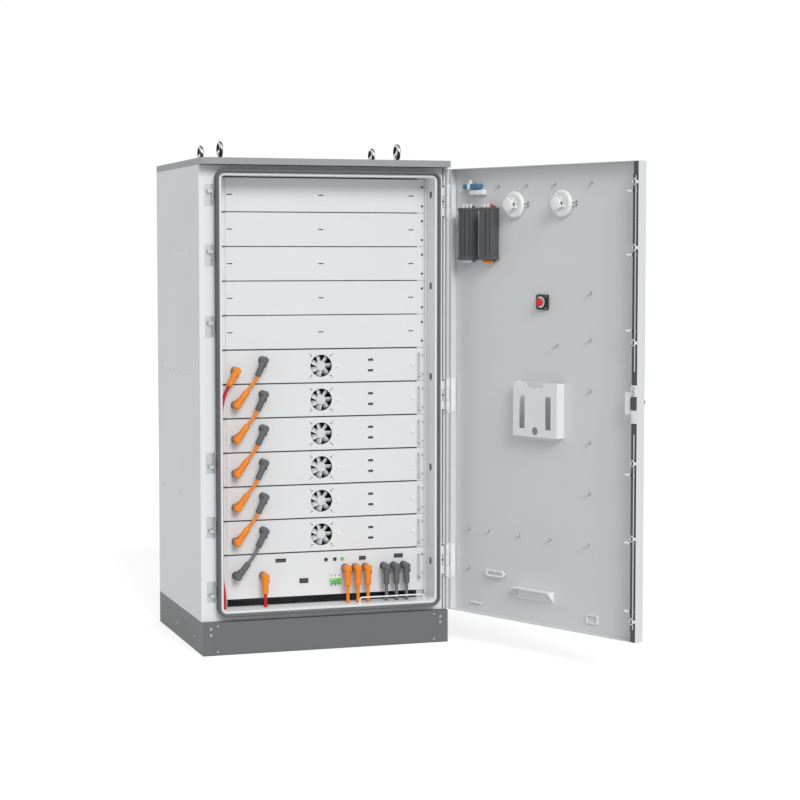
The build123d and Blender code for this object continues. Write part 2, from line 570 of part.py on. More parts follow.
def make_lock():
    x0, x1 = DOOR_LEFT + ROD_EDGE, DOOR_LEFT + ROD_EDGE + ROD_WIDTH
    y0, y1 = LIP_Y + 0.1, LIP_Y + 0.1 + ROD_THICK
    roller_y, x_roller = FRONT - ROLLER_AHEAD, LEFT + KEEPER_X
    half = LOCK_HALF
    rods = (("lock_rod_upper", LOCK_CENTRE + half + 0.4, DOOR_TOP - 50.0, KEEPER_HIGH),
            ("lock_rod_lower", DOOR_BOTTOM + 45.0, LOCK_CENTRE - half - 0.4, KEEPER_LOW))
    for name, z0, z1, levels in rods:
        rod = block(x0, x1, y0, y1, z0, z1)
        for z in levels:
            rod += along_x(disc(roller_y, z, 2.5), x1 - 4.0, x_roller)
            rod += block(x1 - 1.0, x1 + 3.0, y0, roller_y + 2.5, z - 6, z + 6)
            rod += along_x(disc(roller_y, z, ROLLER_RADIUS), x_roller - ROLLER_WIDTH / 2, x_roller + ROLLER_WIDTH / 2)
        add(name, rod, door=True)
    gap, wall = GUIDE_GAP, GUIDE_SHEET
    fixed = []
    channel = rect(x0 - gap, x1 + gap, LIP_Y - 1, y1 + gap)
    hoop = rect(x0 - gap - wall, x1 + gap + wall, LIP_Y, y1 + gap + wall) - channel
    for z in GUIDES_HIGH + GUIDES_LOW:
        fixed.append(along_z(hoop, z - GUIDE_HEIGHT / 2, z + GUIDE_HEIGHT / 2))
    lip_edge = DOOR_LEFT + DOOR_LIP_FREE
    case = block(DOOR_LEFT + 1.5, lip_edge, LIP_Y, LIP_Y + 9.0, LOCK_CENTRE - half, LOCK_CENTRE + half)
    gearbox = block(lip_edge, SPINDLE_X + 12.0, SKIN_IN, LIP_Y + 4.0, LOCK_CENTRE - 42.0, LOCK_CENTRE + 42.0)
    gearbox += block(lip_edge - 1.0, SPINDLE_X, LIP_Y, LIP_Y + 4.0, LOCK_CENTRE - half, LOCK_CENTRE + half)
    gearbox -= along_y(disc(SPINDLE_X, LOCK_CENTRE, SPINDLE_RADIUS + 0.3), SKIN_IN - 1, SKIN_IN + 20.5)
    fixed.append(case + fillet(gearbox.edges().filter_by(Axis.Y).group_by(Axis.X)[-1], 4.0))
    add("lock_case_and_rod_guides", fixed, door=True)
    rosette = along_y(disc(SPINDLE_X, LOCK_CENTRE, 28.0) - disc(SPINDLE_X, LOCK_CENTRE, SPINDLE_RADIUS + 0.3),
                      SKIN_OUT - 7.0, SKIN_OUT)
    add("handle_rosette", chamfer(rosette.edges().group_by(Axis.Y)[0].sort_by(Edge.length)[-1], 2.0), door=True)
    spindle = along_y(disc(SPINDLE_X, LOCK_CENTRE, SPINDLE_RADIUS), SKIN_OUT - LEVER_GAP - 1, SKIN_IN + 20.0)
    boss = along_y(disc(SPINDLE_X, LOCK_CENTRE, LEVER_WIDTH / 2), SKIN_OUT - LEVER_GAP - LEVER_THICK, SKIN_OUT - 7.4)
    outline = rect(SPINDLE_X - LEVER_WIDTH / 2, SPINDLE_X + LEVER_LENGTH, LOCK_CENTRE - LEVER_WIDTH / 2,
                   LOCK_CENTRE + LEVER_WIDTH / 2, LEVER_WIDTH / 2 - 0.5)
    arm = along_y(outline, SKIN_OUT - LEVER_GAP - LEVER_THICK, SKIN_OUT - LEVER_GAP)
    add("swing_handle", spindle + boss + arm, door=True)


def make_door_fittings():
    y = SKIN_IN
    # gateway boxes with connectors on top and below
    boxes = []
    for distance in GATEWAYS:
        xa, xb = door_x(distance + GATEWAY_WIDTH), door_x(distance)
        box = block(xa, xb, y, y + GATEWAY_DEPTH, GATEWAY_BOTTOM, GATEWAY_BOTTOM + GATEWAY_HEIGHT)
        box = fillet(box.edges().filter_by(Axis.Z).group_by(Axis.Y)[-1], 3.0)
        top = GATEWAY_BOTTOM + GATEWAY_HEIGHT
        for share in (0.25, 0.7):
            box += along_z(disc(xa + share * GATEWAY_WIDTH, y + GATEWAY_DEPTH * 0.6, 5.0), top - 1, top + 16.0)
        box += block(xa + 12, xb - 12, y + 20, y + 38, GATEWAY_BOTTOM - 12, GATEWAY_BOTTOM + 1)
        for sz in (GATEWAY_BOTTOM - 8.0, top + 0.0):
            box += block(xa + 22, xb - 22, y, y + 2.5, sz, sz + 8.0)
        boxes.append(box)
    add("gateway_boxes", boxes, door=True)
    # smoke detectors: base disc and ribbed sensing cap
    detectors = []
    for distance in DETECTORS:
        profile = Polyline((0, 0), (DETECTOR_RADIUS - 3, 0), (DETECTOR_RADIUS, 6), (DETECTOR_RADIUS, 14),
                           (DETECTOR_RADIUS - 6, 18), (32, 20), (32, 26), (36, 27), (36, 30), (32, 31), (32, 35),
                           (34, 36), (34, 39), (30, 40), (30, 43), (28, 49), (22, 51), (0, 51), close=True)
        body = revolve(Plane.XZ * make_face(profile), Axis.Z)
        body = Pos(door_x(distance), y, DETECTOR_Z) * Rot(-90, 0, 0) * body
        detectors.append(body)
    add("smoke_detectors", detectors, door=True)
    # document pocket: back plate, tray with sloped front notch and slots
    px0, px1 = door_x(POCKET_START + POCKET_WIDTH), door_x(POCKET_START)
    pz0, pz1 = POCKET_BOTTOM, POCKET_BOTTOM + POCKET_HEIGHT
    w = POCKET_WALL
    pocket = block(px0, px1, y, y + POCKET_DEPTH, pz0, pz1) - block(px0 + w, px1 - w, y + w, y + POCKET_DEPTH - w, pz0 + w, pz1 + 1)
    mid = (px0 + px1) / 2
    notch = rect(mid - POCKET_NOTCH / 2, mid + POCKET_NOTCH / 2, pz1 - 20, pz1 + 10, 9.0)
    for sx in (-1, 1):
        notch += rect(mid + sx * 72 - 15.5, mid + sx * 72 + 15.5, pz0 + 32, pz0 + 164, 6.0)
    notch += disc(mid, pz0 + 24, 16.0)
    pocket -= along_y(notch, y + POCKET_DEPTH - w - 1, y + POCKET_DEPTH + 1)
    pocket += block(px0 + 20, px1 - 20, y, y + w, pz0 - 15, pz0 + 1)
    add("document_pocket", pocket, door=True)
    # emergency stop: square plate, ring and mushroom button
    ex = door_x(STOP_AT)
    base = along_y(rect(ex - 30, ex + 30, STOP_Z - 30, STOP_Z + 30, 4.0), y, y + STOP_PLATE)
    base += along_y(disc(ex, STOP_Z, 23.0), y + STOP_PLATE - 1, y + STOP_PLATE + 5.0)
    base -= along_y(disc(ex, STOP_Z, STOP_STEM + 0.3), y + 1.0, y + STOP_PLATE + 6.0)
    add("emergency_stop_base", base, door=True)
    head_y = y + STOP_PLATE + 5.0 + STOP_TRAVEL + 0.5
    button = along_y(disc(ex, STOP_Z, STOP_BUTTON), head_y, head_y + 9.0)
    button = fillet(button.edges().group_by(Axis.Y)[-1], 3.0)
    button += along_y(disc(ex, STOP_Z, STOP_STEM), y + 1.0 + STOP_TRAVEL + 0.5, head_y + 1)
    add("emergency_stop_button", button, door=True)
    # door position switch near the hinge edge
    sx0, sx1 = door_x(SWITCH_START + SWITCH_LENGTH), door_x(SWITCH_START)
    body = block(sx0, sx1, y, y + 26, SWITCH_Z - 11, SWITCH_Z + 11)
    knob = along_z(disc(sx1 - 34, y + 13, 9.0), SWITCH_Z + 10, SWITCH_Z + 27)
    carrier = block(sx0 - 26, sx1 - 34, y, y + 22, SWITCH_Z - 34, SWITCH_Z - 14)
    plate = block(sx0 - 10, sx1 - 40, y, y + 3, SWITCH_Z - 20, SWITCH_Z - 8)
    add("door_switch", fillet(body.edges().filter_by(Axis.X).group_by(Axis.Y)[-1], 3.0) + knob + carrier + plate, door=True)
    # folded brackets: strap loop, gusset shelf, tab and stay loop
    bw = 2.0
    loop_x0, loop_x1 = door_x(LOOP_START + LOOP_LENGTH), door_x(LOOP_START)
    outline = rect(loop_x0, loop_x1, LOOP_Z - 15, LOOP_Z + 15, 14.0) - rect(loop_x0 + 9, loop_x1 - 9, LOOP_Z - 7, LOOP_Z + 7, 6.0)
    strap = along_y(outline, y + 12, y + 18)
    for x in (loop_x0 + 4.5, loop_x1 - 4.5):
        strap += along_y(disc(x, LOOP_Z, 4.0), y, y + 13)
    shelf_x0, shelf_x1 = door_x(SHELF_START + SHELF_LENGTH), door_x(SHELF_START)
    shelf = block(shelf_x0, shelf_x1, y, y + SHELF_OUT, SHELF_TOP - bw, SHELF_TOP)
    shelf += block(shelf_x0, shelf_x1, y, y + bw, SHELF_TOP - SHELF_DROP, SHELF_TOP)
    gusset = make_face(Polyline((y, SHELF_TOP), (y + SHELF_OUT, SHELF_TOP), (y, SHELF_TOP - SHELF_DROP), close=True))
    for x in (shelf_x0, shelf_x1 - bw):
        shelf += along_x(gusset, x, x + bw)
    tab_x = door_x(TAB_START)
    tab = block(tab_x - 59, tab_x, y, y + 8, TAB_Z, TAB_Z + 6)
    stay_x0, stay_x1 = door_x(STAY_START + 61), door_x(STAY_START)
    stay_outline = rect(stay_x0, stay_x1, STAY_Z - 18, STAY_Z + 18, 6.0) - rect(stay_x0 + 5, stay_x1 - 5, STAY_Z - 13, STAY_Z + 13, 4.0)
    stay = along_y(stay_outline, y, y + 6)
    add("door_brackets", strap, shelf, tab, stay, door=True)


# ---------------------------------------------------------------- rack structure
def make_rack():
    frame, runners = [], []
    z0, z1 = PLINTH_HEIGHT + SHEET, BODY_TOP - SHEET
    inner_left, inner_right = PANEL_LEFT, PANEL_RIGHT
    for sx, x_in, x_out in ((-1, inner_left, EAR_LEFT), (1, inner_right, EAR_RIGHT)):
        for y0, y1 in ((EAR_BACK, EAR_BACK + POST_DEPTH), (REAR_POST_Y, REAR_POST_Y + POST_DEPTH)):
            post = rect(*sorted((x_in, x_out)), y0, y1)
            hollow = sorted((x_in - sx * 1.0, x_out - sx * RUNNER_SHEET))
            post -= rect(*hollow, y0 + RUNNER_SHEET, y1 - RUNNER_SHEET)
            frame.append(along_z(post, z0, z1))
        wall_in = sx * (WIDTH / 2 - SHEET)
        for level in RAIL_LEVELS:
            a, b = sorted((x_out, wall_in))
            profile = rect(a, b, level - RAIL_HEIGHT / 2, level + RAIL_HEIGHT / 2)
            profile -= rect(a + RUNNER_SHEET, b - RUNNER_SHEET, level - RAIL_HEIGHT / 2 - 1, level + RAIL_HEIGHT / 2 - RUNNER_SHEET)
            frame.append(along_y(profile, EAR_BACK, REAR_POST_Y + POST_DEPTH))
        bottoms = [z - UNIT_PITCH / 2 + CASE_HEIGHT_GAP for z in MODULE_ZS] + [CONTROL_BOTTOM + CASE_HEIGHT_GAP]
        for bottom in bottoms:
            x_leg = x_in
            x_foot = x_in - sx * 28.0
            x_case = x_in - sx * (CASE_SIDE_GAP - 0.5)
            leg = rect(*sorted((x_leg, x_case)), bottom - RUNNER_SHEET, bottom + 24.0)
            foot = rect(*sorted((x_leg, x_foot)), bottom - RUNNER_SHEET, bottom)
            runners.append(along_y(leg + foot, EAR_BACK, REAR_POST_Y + POST_DEPTH))
    add("rack_posts_and_rails", frame)
    add("rack_runners", runners)


def unit_plate(top, bottom, raised=PANEL_RAISE):
    """Rack front: ears at the rack plane and a raised centre panel."""
    ears = block(EAR_LEFT, EAR_RIGHT, RACK_Y, EAR_BACK, bottom, top)
    return ears + block(PANEL_LEFT, PANEL_RIGHT, RACK_Y - raised, EAR_BACK, bottom, top)


def make_units():
    blanks, plates, cases, cells, screws, lights, caps, ports, handles = [], [], [], [], [], [], [], [], []
    for i in range(BLANK_COUNT):
        top = RACK_TOP - i * UNIT_PITCH - UNIT_GAP / 2
        bottom = top - UNIT_PITCH + UNIT_GAP
        plate = unit_plate(top, bottom)
        for x in (PANEL_LEFT + DASH_IN, RACK_X - 7.0, PANEL_RIGHT - DASH_IN - 9.0):
            middle = (top + bottom) / 2
            plate -= block(x - 11, x + 11, PANEL_FRONT - 1, EAR_BACK + 1, middle - 1.9, middle + 1.9)
        blanks.append(plate)
    for top, z in zip(MODULE_TOPS, MODULE_ZS):
        plate = unit_plate(top - UNIT_GAP / 2, top - UNIT_PITCH + UNIT_GAP / 2)
        plate -= along_y(disc(FAN_X, z, FAN_HOLE / 2), PANEL_FRONT - 1, EAR_BACK + 1)
        plates.append(plate)
        half = UNIT_PITCH / 2 - CASE_HEIGHT_GAP
        back = EAR_BACK + CASE_DEPTH
        case = block(CASE_LEFT, CASE_RIGHT, EAR_BACK, back, z - half, z + half)
        w = CASE_WALL
        case -= block(CASE_LEFT + w, CASE_RIGHT - w, EAR_BACK - 1, back - w, z - half + w, z + half - w)
        cases.append(case)
        cells.append(block(CASE_LEFT + 12, CASE_RIGHT - 12, EAR_BACK + CELL_START, back - 20, z - half + w, z + half - 14))
        lights.append(along_y(disc(LIGHT_X, z, LIGHT_RADIUS), PANEL_FRONT - 4.0, PANEL_FRONT))
        caps.append(along_y(disc(CAP_X, z, CAP_RADIUS), PANEL_FRONT - 5.0, PANEL_FRONT))
        for dz in (-PORT_SPACING / 2, PORT_SPACING / 2):
            port = block(PORT_X - 11, PORT_X + 11, PANEL_FRONT - 1.2, PANEL_FRONT, z + dz - 5.5, z + dz + 5.5)
            ports.append(port)
        handles.append(handle(z - HANDLE_DROP))
    handles.append(handle(CONTROL_Z + 12.0))
    tops = [RACK_TOP - i * UNIT_PITCH for i in range(BLANK_COUNT + MODULE_COUNT)] + [CONTROL_TOP]
    for top in tops:
        for x in SCREW_XS:
            for drop in (SCREW_DROP_HIGH, SCREW_DROP_LOW):
                screws.append(along_y(hexagon(x, top - drop, SCREW_SIZE), RACK_Y - SCREW_HEAD, RACK_Y))
    for z in MODULE_ZS:
        for sx in (-1, 1):
            for sz in (-1, 1):
                half_pitch = FAN_SCREW_SPACING / 2
                head = hexagon(FAN_X + sx * half_pitch, z + sz * half_pitch, 3.2)
                screws.append(along_y(head, PANEL_FRONT - 1.5, PANEL_FRONT))
    add("blank_panels", blanks)
    add("module_front_plates", plates)
    add("module_cases", cases)
    add("module_cell_blocks", cells)
    add("rack_screws", screws)
    add("module_status_lights", lights)
    add("module_earth_caps", caps)
    add("module_handles", handles)
    return ports


def handle(z_mid):
    """Fixed U handle on the right ear."""
    x, y = PANEL_RIGHT + HANDLE_IN, RACK_Y - HANDLE_OUT
    z0, z1 = z_mid - HANDLE_LENGTH / 2, z_mid + HANDLE_LENGTH / 2
    return tube([(x, RACK_Y, z0), (x, y, z0), (x, y, z1), (x, RACK_Y, z1)], [8.0, 8.0], HANDLE_BAR)


# ---------------------------------------------------------------- fans
def make_fans():
    frames = []
    half = FAN_SIZE / 2
    y0, y1 = EAR_BACK, EAR_BACK + FAN_DEPTH
    for i, z in enumerate(MODULE_ZS):
        shroud = along_y(rect(FAN_X - half, FAN_X + half, z - half, z + half, 4.0) - disc(FAN_X, z, FAN_BORE / 2), y0, y1)
        shroud += along_y(disc(FAN_X, z, FAN_HUB / 2 - 1), y1 - 3, y1)
        for turn in (45, 135, 225, 315):
            strut = Pos(FAN_X, (y0 + y1) / 2, z) * Rot(0, turn, 0) * Pos(FAN_BORE / 4 + 6, FAN_DEPTH / 2 - 1.5, 0) * Box(FAN_BORE / 2 - 10, 3, 5)
            shroud += strut
        shroud += along_y(disc(FAN_X, z, FAN_SHAFT), y0 + 6, y1)
        frames.append(shroud)
        add(f"fan_impeller_{i + 1}", impeller(FAN_X, y0 + 0.5, y1 - 3.4, z))
    add("fan_frames", frames)


def impeller(x, y0, y1, z):
    """Hub with cambered, pitched blades, turning about the Y axis."""
    depth = y1 - y0
    tip = FAN_BORE / 2 - FAN_TIP_GAP
    hub = Circle(FAN_HUB / 2)
    rotor = extrude(hub, depth)
    rotor = fillet(rotor.edges().group_by(Axis.Z)[-1], 2.0)
    rotor -= extrude(Circle(FAN_SHAFT + SHAFT_CLEARANCE), depth - 2.5)
    chord, camber = BLADE_CHORD, BLADE_CHORD / 8
    upper = ThreePointArc((-chord / 2, 0), (0, camber), (chord / 2, 0))
    lower = ThreePointArc((chord / 2, 0), (0, camber - BLADE_SHEET), (-chord / 2, 0))
    section = make_face(Curve() + [upper, lower])
    blade = extrude(Plane(origin=(FAN_HUB / 2 - 2, 0, depth / 2), x_dir=(0, 1, 0), z_dir=(1, 0, 0)) * Rot(0, 0, BLADE_PITCH) * section,
                    tip - FAN_HUB / 2 + 6)
    blade &= extrude(Circle(tip), depth)
    for i in range(FAN_BLADES):
        rotor += Rot(0, 0, i * 360 / FAN_BLADES) * blade
    return Pos(x, y1, z) * Rot(90, 0, 0) * rotor


# ---------------------------------------------------------------- control box
def make_control(ports):
    top, bottom = CONTROL_TOP - UNIT_GAP / 2, CONTROL_BOTTOM + UNIT_GAP / 2
    w = CASE_WALL
    case = unit_plate(top, bottom)
    z0, z1 = CONTROL_BOTTOM + CASE_HEIGHT_GAP, CONTROL_TOP - CASE_HEIGHT_GAP
    shell = block(CASE_LEFT, CASE_RIGHT, EAR_BACK, EAR_BACK + CASE_DEPTH, z0, z1)
    shell -= block(CASE_LEFT + w, CASE_RIGHT - w, EAR_BACK - 1, EAR_BACK + CASE_DEPTH - w, z0 + w, z1 - w)
    case += shell
    gap = 0.3
    nose = (BREAKER_LEFT, BREAKER_LEFT + BREAKER_POLES * POLE_WIDTH, BREAKER_Z - BREAKER_NOSE / 2, BREAKER_Z + BREAKER_NOSE / 2)
    case -= along_y(rect(nose[0] - gap, nose[1] + gap, nose[2] - gap, nose[3] + gap), PANEL_FRONT - 1, EAR_BACK + 1)
    button_z = CONTROL_TOP - BUTTON_DROP
    names = ("control_button_left", "control_button_right", "power_button")
    for name, x in zip(names, BUTTON_XS):
        case += along_y(disc(x, button_z, BUTTON_RADIUS + 2.0), PANEL_FRONT - 1.5, PANEL_FRONT + 0.5)
        case -= along_y(disc(x, button_z, BUTTON_RADIUS + 0.25), PANEL_FRONT - 2, EAR_BACK + 1)
        cap = along_y(disc(x, button_z, BUTTON_RADIUS), PANEL_FRONT - 5.0, EAR_BACK + 3.0)
        add(name, fillet(cap.edges().group_by(Axis.Y)[0], 1.0))
    add("control_box_case", case)
    for x, z, width, height in BOX_PORTS:
        ports.append(block(x - width / 2, x + width / 2, PANEL_FRONT - 3.0, PANEL_FRONT, CONTROL_TOP - z - height / 2, CONTROL_TOP - z + height / 2))
    add("data_ports", ports)
    body_depth = 50.0
    body = along_y(rect(nose[0], nose[1], nose[2], nose[3]), PANEL_FRONT - 4.0, EAR_BACK + 10)
    body += along_y(rect(nose[0], nose[1], BREAKER_Z - 42, BREAKER_Z + 42), EAR_BACK, EAR_BACK + body_depth)
    pivot_y = PANEL_FRONT + 1.0
    x0, x1 = nose[0] + 2.0, nose[1] - 2.0
    body -= along_x(disc(pivot_y, BREAKER_Z, TOGGLE_HUB + 0.4), x0, x1)
    add("breaker_body", body)
    lever = along_x(disc(pivot_y, BREAKER_Z, TOGGLE_HUB), x0 + 0.4, x1 - 0.4)
    paddle = rect(-TOGGLE_HUB - 12.0, -TOGGLE_HUB + 2.0, -3.0, 3.0)
    for i in range(BREAKER_POLES):
        xc = nose[0] + (i + 0.5) * POLE_WIDTH
        lever += Pos(0, pivot_y, BREAKER_Z) * Rot(TOGGLE_REST, 0, 0) * along_x(paddle, xc - 5.0, xc + 5.0)
    tie = rect(-TOGGLE_HUB - 9.0, -TOGGLE_HUB - 4.0, -2.0, 2.0)
    lever += Pos(0, pivot_y, BREAKER_Z) * Rot(TOGGLE_REST, 0, 0) * along_x(tie, nose[0] + 6, nose[1] - 6)
    add("breaker_toggle", lever)


# ---------------------------------------------------------------- plugs and cables
def direction(angle):
    return Vector(math.cos(math.radians(angle)), 0, math.sin(math.radians(angle)))


def plug(x, z, angle):
    """Right-angle battery plug: base on the panel, head and barrel in the cable's direction."""
    base = along_y(hexagon(0, 0, PLUG_BASE), -5.0, 0.0)
    column = along_y(disc(0, 0, PLUG_HEAD - 1.5), -PLUG_STANDOFF, -4.0)
    head = along_y(RegularPolygon(PLUG_HEAD + 1.2, 8), -PLUG_STANDOFF - PLUG_HEAD, -PLUG_STANDOFF + PLUG_HEAD - 4)
    head = chamfer(head.edges().group_by(Axis.Y)[0], 4.0)
    axis_plane = Plane(origin=(0, -PLUG_STANDOFF, 0), x_dir=(0, 1, 0), z_dir=(1, 0, 0))
    collar = extrude(axis_plane.offset(8.0) * RegularPolygon(PLUG_HEAD, 8), 20.0)
    barrel = extrude(axis_plane.offset(26.0) * Circle(PLUG_BARREL), PLUG_LENGTH - 26.0)
    barrel = chamfer(barrel.edges().group_by(Axis.X)[-1], 1.8)
    whole = base + column + head + collar + barrel
    return Pos(x, PANEL_FRONT, z) * Rot(0, -angle, 0) * whole


def barrel_end(x, z, angle):
    return Vector(x, PLUG_Y, z) + direction(angle) * PLUG_LENGTH


def jumper(start, start_angle, end, end_angle):
    """Short battery link between two barrels."""
    reach = (end - start).length / 3
    points = [start, start + direction(start_angle) * reach, end + direction(end_angle) * reach, end]
    points = [tuple(p) for p in points]
    return tube(points, soft_radii(points), CABLE_RADIUS)


def make_plugs_and_cables():
    orange, grey, orange_cables, grey_cables = [], [], [], []
    orange.append(plug(ORANGE_X, MODULE_ZS[0] + ORANGE_RISE, POSITIVE_ANGLE))
    for i, z in enumerate(MODULE_ZS):
        grey.append(plug(GREY_X, z + GREY_RISE, GREY_ANGLE))
        start = barrel_end(GREY_X, z + GREY_RISE, GREY_ANGLE)
        if i + 1 < MODULE_COUNT:
            next_z = MODULE_ZS[i + 1] + ORANGE_RISE
            orange.append(plug(ORANGE_X, next_z, ORANGE_ANGLE))
            end = barrel_end(ORANGE_X, next_z, ORANGE_ANGLE)
            orange_cables.append(jumper(start, GREY_ANGLE, end, ORANGE_ANGLE))
        else:
            grey.append(plug(ORANGE_X, CONTROL_Z + BOX_GREY_RISE, BOX_GREY_ANGLE))
            end = barrel_end(ORANGE_X, CONTROL_Z + BOX_GREY_RISE, BOX_GREY_ANGLE)
            grey_cables.append(jumper(start, GREY_ANGLE, end, BOX_GREY_ANGLE))
    orange.append(plug(BOX_RED_X, CONTROL_Z + BOX_RED_RISE, 270.0))
    couplers = []
    for i, x in enumerate(OUTLET_XS):
        plugs, cables = (orange, orange_cables) if i < OUTLETS else (grey, grey_cables)
        plugs.append(plug(x, OUTLET_ZC, 270.0))
        top = OUTLET_ZC - PLUG_LENGTH
        bottom = PLINTH_HEIGHT + SHEET + 8.0
        cables.append(along_z(disc(x, PLUG_Y, CABLE_RADIUS), bottom, top))
        coupler = along_z(disc(x, PLUG_Y, COUPLER_BODY - 0.2), PLINTH_HEIGHT - COUPLER_DROP, PLINTH_HEIGHT + SHEET + 1)
        coupler += along_z(hexagon(x, PLUG_Y, COUPLER_BODY + 4.0), PLINTH_HEIGHT + SHEET, bottom)
        couplers.append(coupler)
    top_end = barrel_end(ORANGE_X, MODULE_ZS[0] + ORANGE_RISE, POSITIVE_ANGLE)
    low_end = barrel_end(BOX_RED_X, CONTROL_Z + BOX_RED_RISE, 270.0)
    run_x = OPEN_LEFT + CABLE_RADIUS + 1.0
    drop_x = run_x + RED_SHIFT
    along = direction(POSITIVE_ANGLE)
    points = [tuple(top_end), tuple(top_end + along * 40), (run_x, PLUG_Y, top_end.Z - 95),
              (run_x, PLUG_Y, SHELF_Z + 120), (drop_x, PLUG_Y, SHELF_Z + 60), (drop_x, PLUG_Y, SHELF_Z - RED_DROP),
              (BOX_RED_X, PLUG_Y, SHELF_Z - RED_DROP), tuple(low_end)]
    red = tube(points, soft_radii(points)[:4] + [RED_DROP, RED_DROP], CABLE_RADIUS)
    add("orange_plugs", orange)
    add("grey_plugs", grey)
    add("orange_cables", orange_cables)
    add("grey_cables", grey_cables)
    add("red_cable", red)
    add("floor_couplers", couplers)


def main():
    make_plinth()
    make_walls()
    make_eye_bolts()
    make_front_frame()
    make_keepers()
    make_hinges()
    make_door()
    make_lock()
    make_door_fittings()
    make_rack()
    ports = make_units()
    make_fans()
    make_control(ports)
    make_plugs_and_cables()
    os.makedirs("parts", exist_ok=True)
    for name, solids in NODES.items():
        export_step(Compound(children=solids), f"parts/{name}.step")
    print(len(NODES), "nodes", sum(len(s) for s in NODES.values()), "solids")


main()
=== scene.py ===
"""Battery rack cabinet: finishes, fine pieces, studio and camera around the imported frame."""
import logging
from dataclasses import dataclass, field
from enum import Enum
from math import cos, pi, radians, sin
from typing import Iterable, Sequence

import bmesh
import bpy
from mathutils import Matrix, Vector


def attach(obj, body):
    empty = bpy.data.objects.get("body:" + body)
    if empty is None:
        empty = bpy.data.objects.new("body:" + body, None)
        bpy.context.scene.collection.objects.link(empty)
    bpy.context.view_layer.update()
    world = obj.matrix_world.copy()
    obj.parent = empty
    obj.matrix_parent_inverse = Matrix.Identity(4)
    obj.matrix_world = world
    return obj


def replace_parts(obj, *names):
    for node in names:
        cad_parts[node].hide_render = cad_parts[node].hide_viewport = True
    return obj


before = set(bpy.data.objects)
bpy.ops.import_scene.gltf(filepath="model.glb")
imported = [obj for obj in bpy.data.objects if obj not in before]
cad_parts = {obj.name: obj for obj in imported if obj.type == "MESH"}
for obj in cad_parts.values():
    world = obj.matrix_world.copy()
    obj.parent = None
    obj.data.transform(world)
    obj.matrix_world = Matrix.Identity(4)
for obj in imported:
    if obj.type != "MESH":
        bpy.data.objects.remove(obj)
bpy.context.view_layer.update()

log = logging.getLogger("battery_cabinet")

Point = tuple[float, float, float]
Flat = tuple[float, float]

MM = 0.001
HINGE_PIN = Vector((525.0, -425.0, 0.0))
DOOR_ANGLE = 113.43
DOOR_SWING = (Matrix.Translation(HINGE_PIN) @ Matrix.Rotation(radians(DOOR_ANGLE), 4, "Z")
              @ Matrix.Translation(-HINGE_PIN))
IDENTITY = Matrix.Identity(4)
MODULE_ZS = (1159.7, 1020.12, 880.54, 740.96, 601.38, 461.8)
PANEL_FRONT = -348.0
RACK_FRONT = -345.0
DOOR_SKIN = -467.4
DOOR_EDGE = 521.5


# ---------------------------------------------------------------- places
def front(x: float, y: float, z: float) -> Matrix:
    """Place whose own Z axis points out of the cabinet's front."""
    return Matrix.Translation((x, y, z)) @ Matrix.Rotation(radians(90), 4, "X")


def inward(x: float, y: float, z: float) -> Matrix:
    """Place whose own Z axis points into the cabinet, off the door's inner skin."""
    return Matrix.Translation((x, y, z)) @ Matrix.Rotation(radians(-90), 4, "X")


def outward(side: int, x: float, y: float, z: float) -> Matrix:
    """Place whose own Z axis points away from a side wall (side is -1 or 1)."""
    return Matrix.Translation((x, y, z)) @ Matrix.Rotation(radians(90 * side), 4, "Y")


def upright(x: float, y: float, z: float) -> Matrix:
    """Place whose own Z axis points up."""
    return Matrix.Translation((x, y, z))


def door_x(distance: float) -> float:
    """X of a place on the closed door, measured from its hinge edge."""
    return DOOR_EDGE - distance


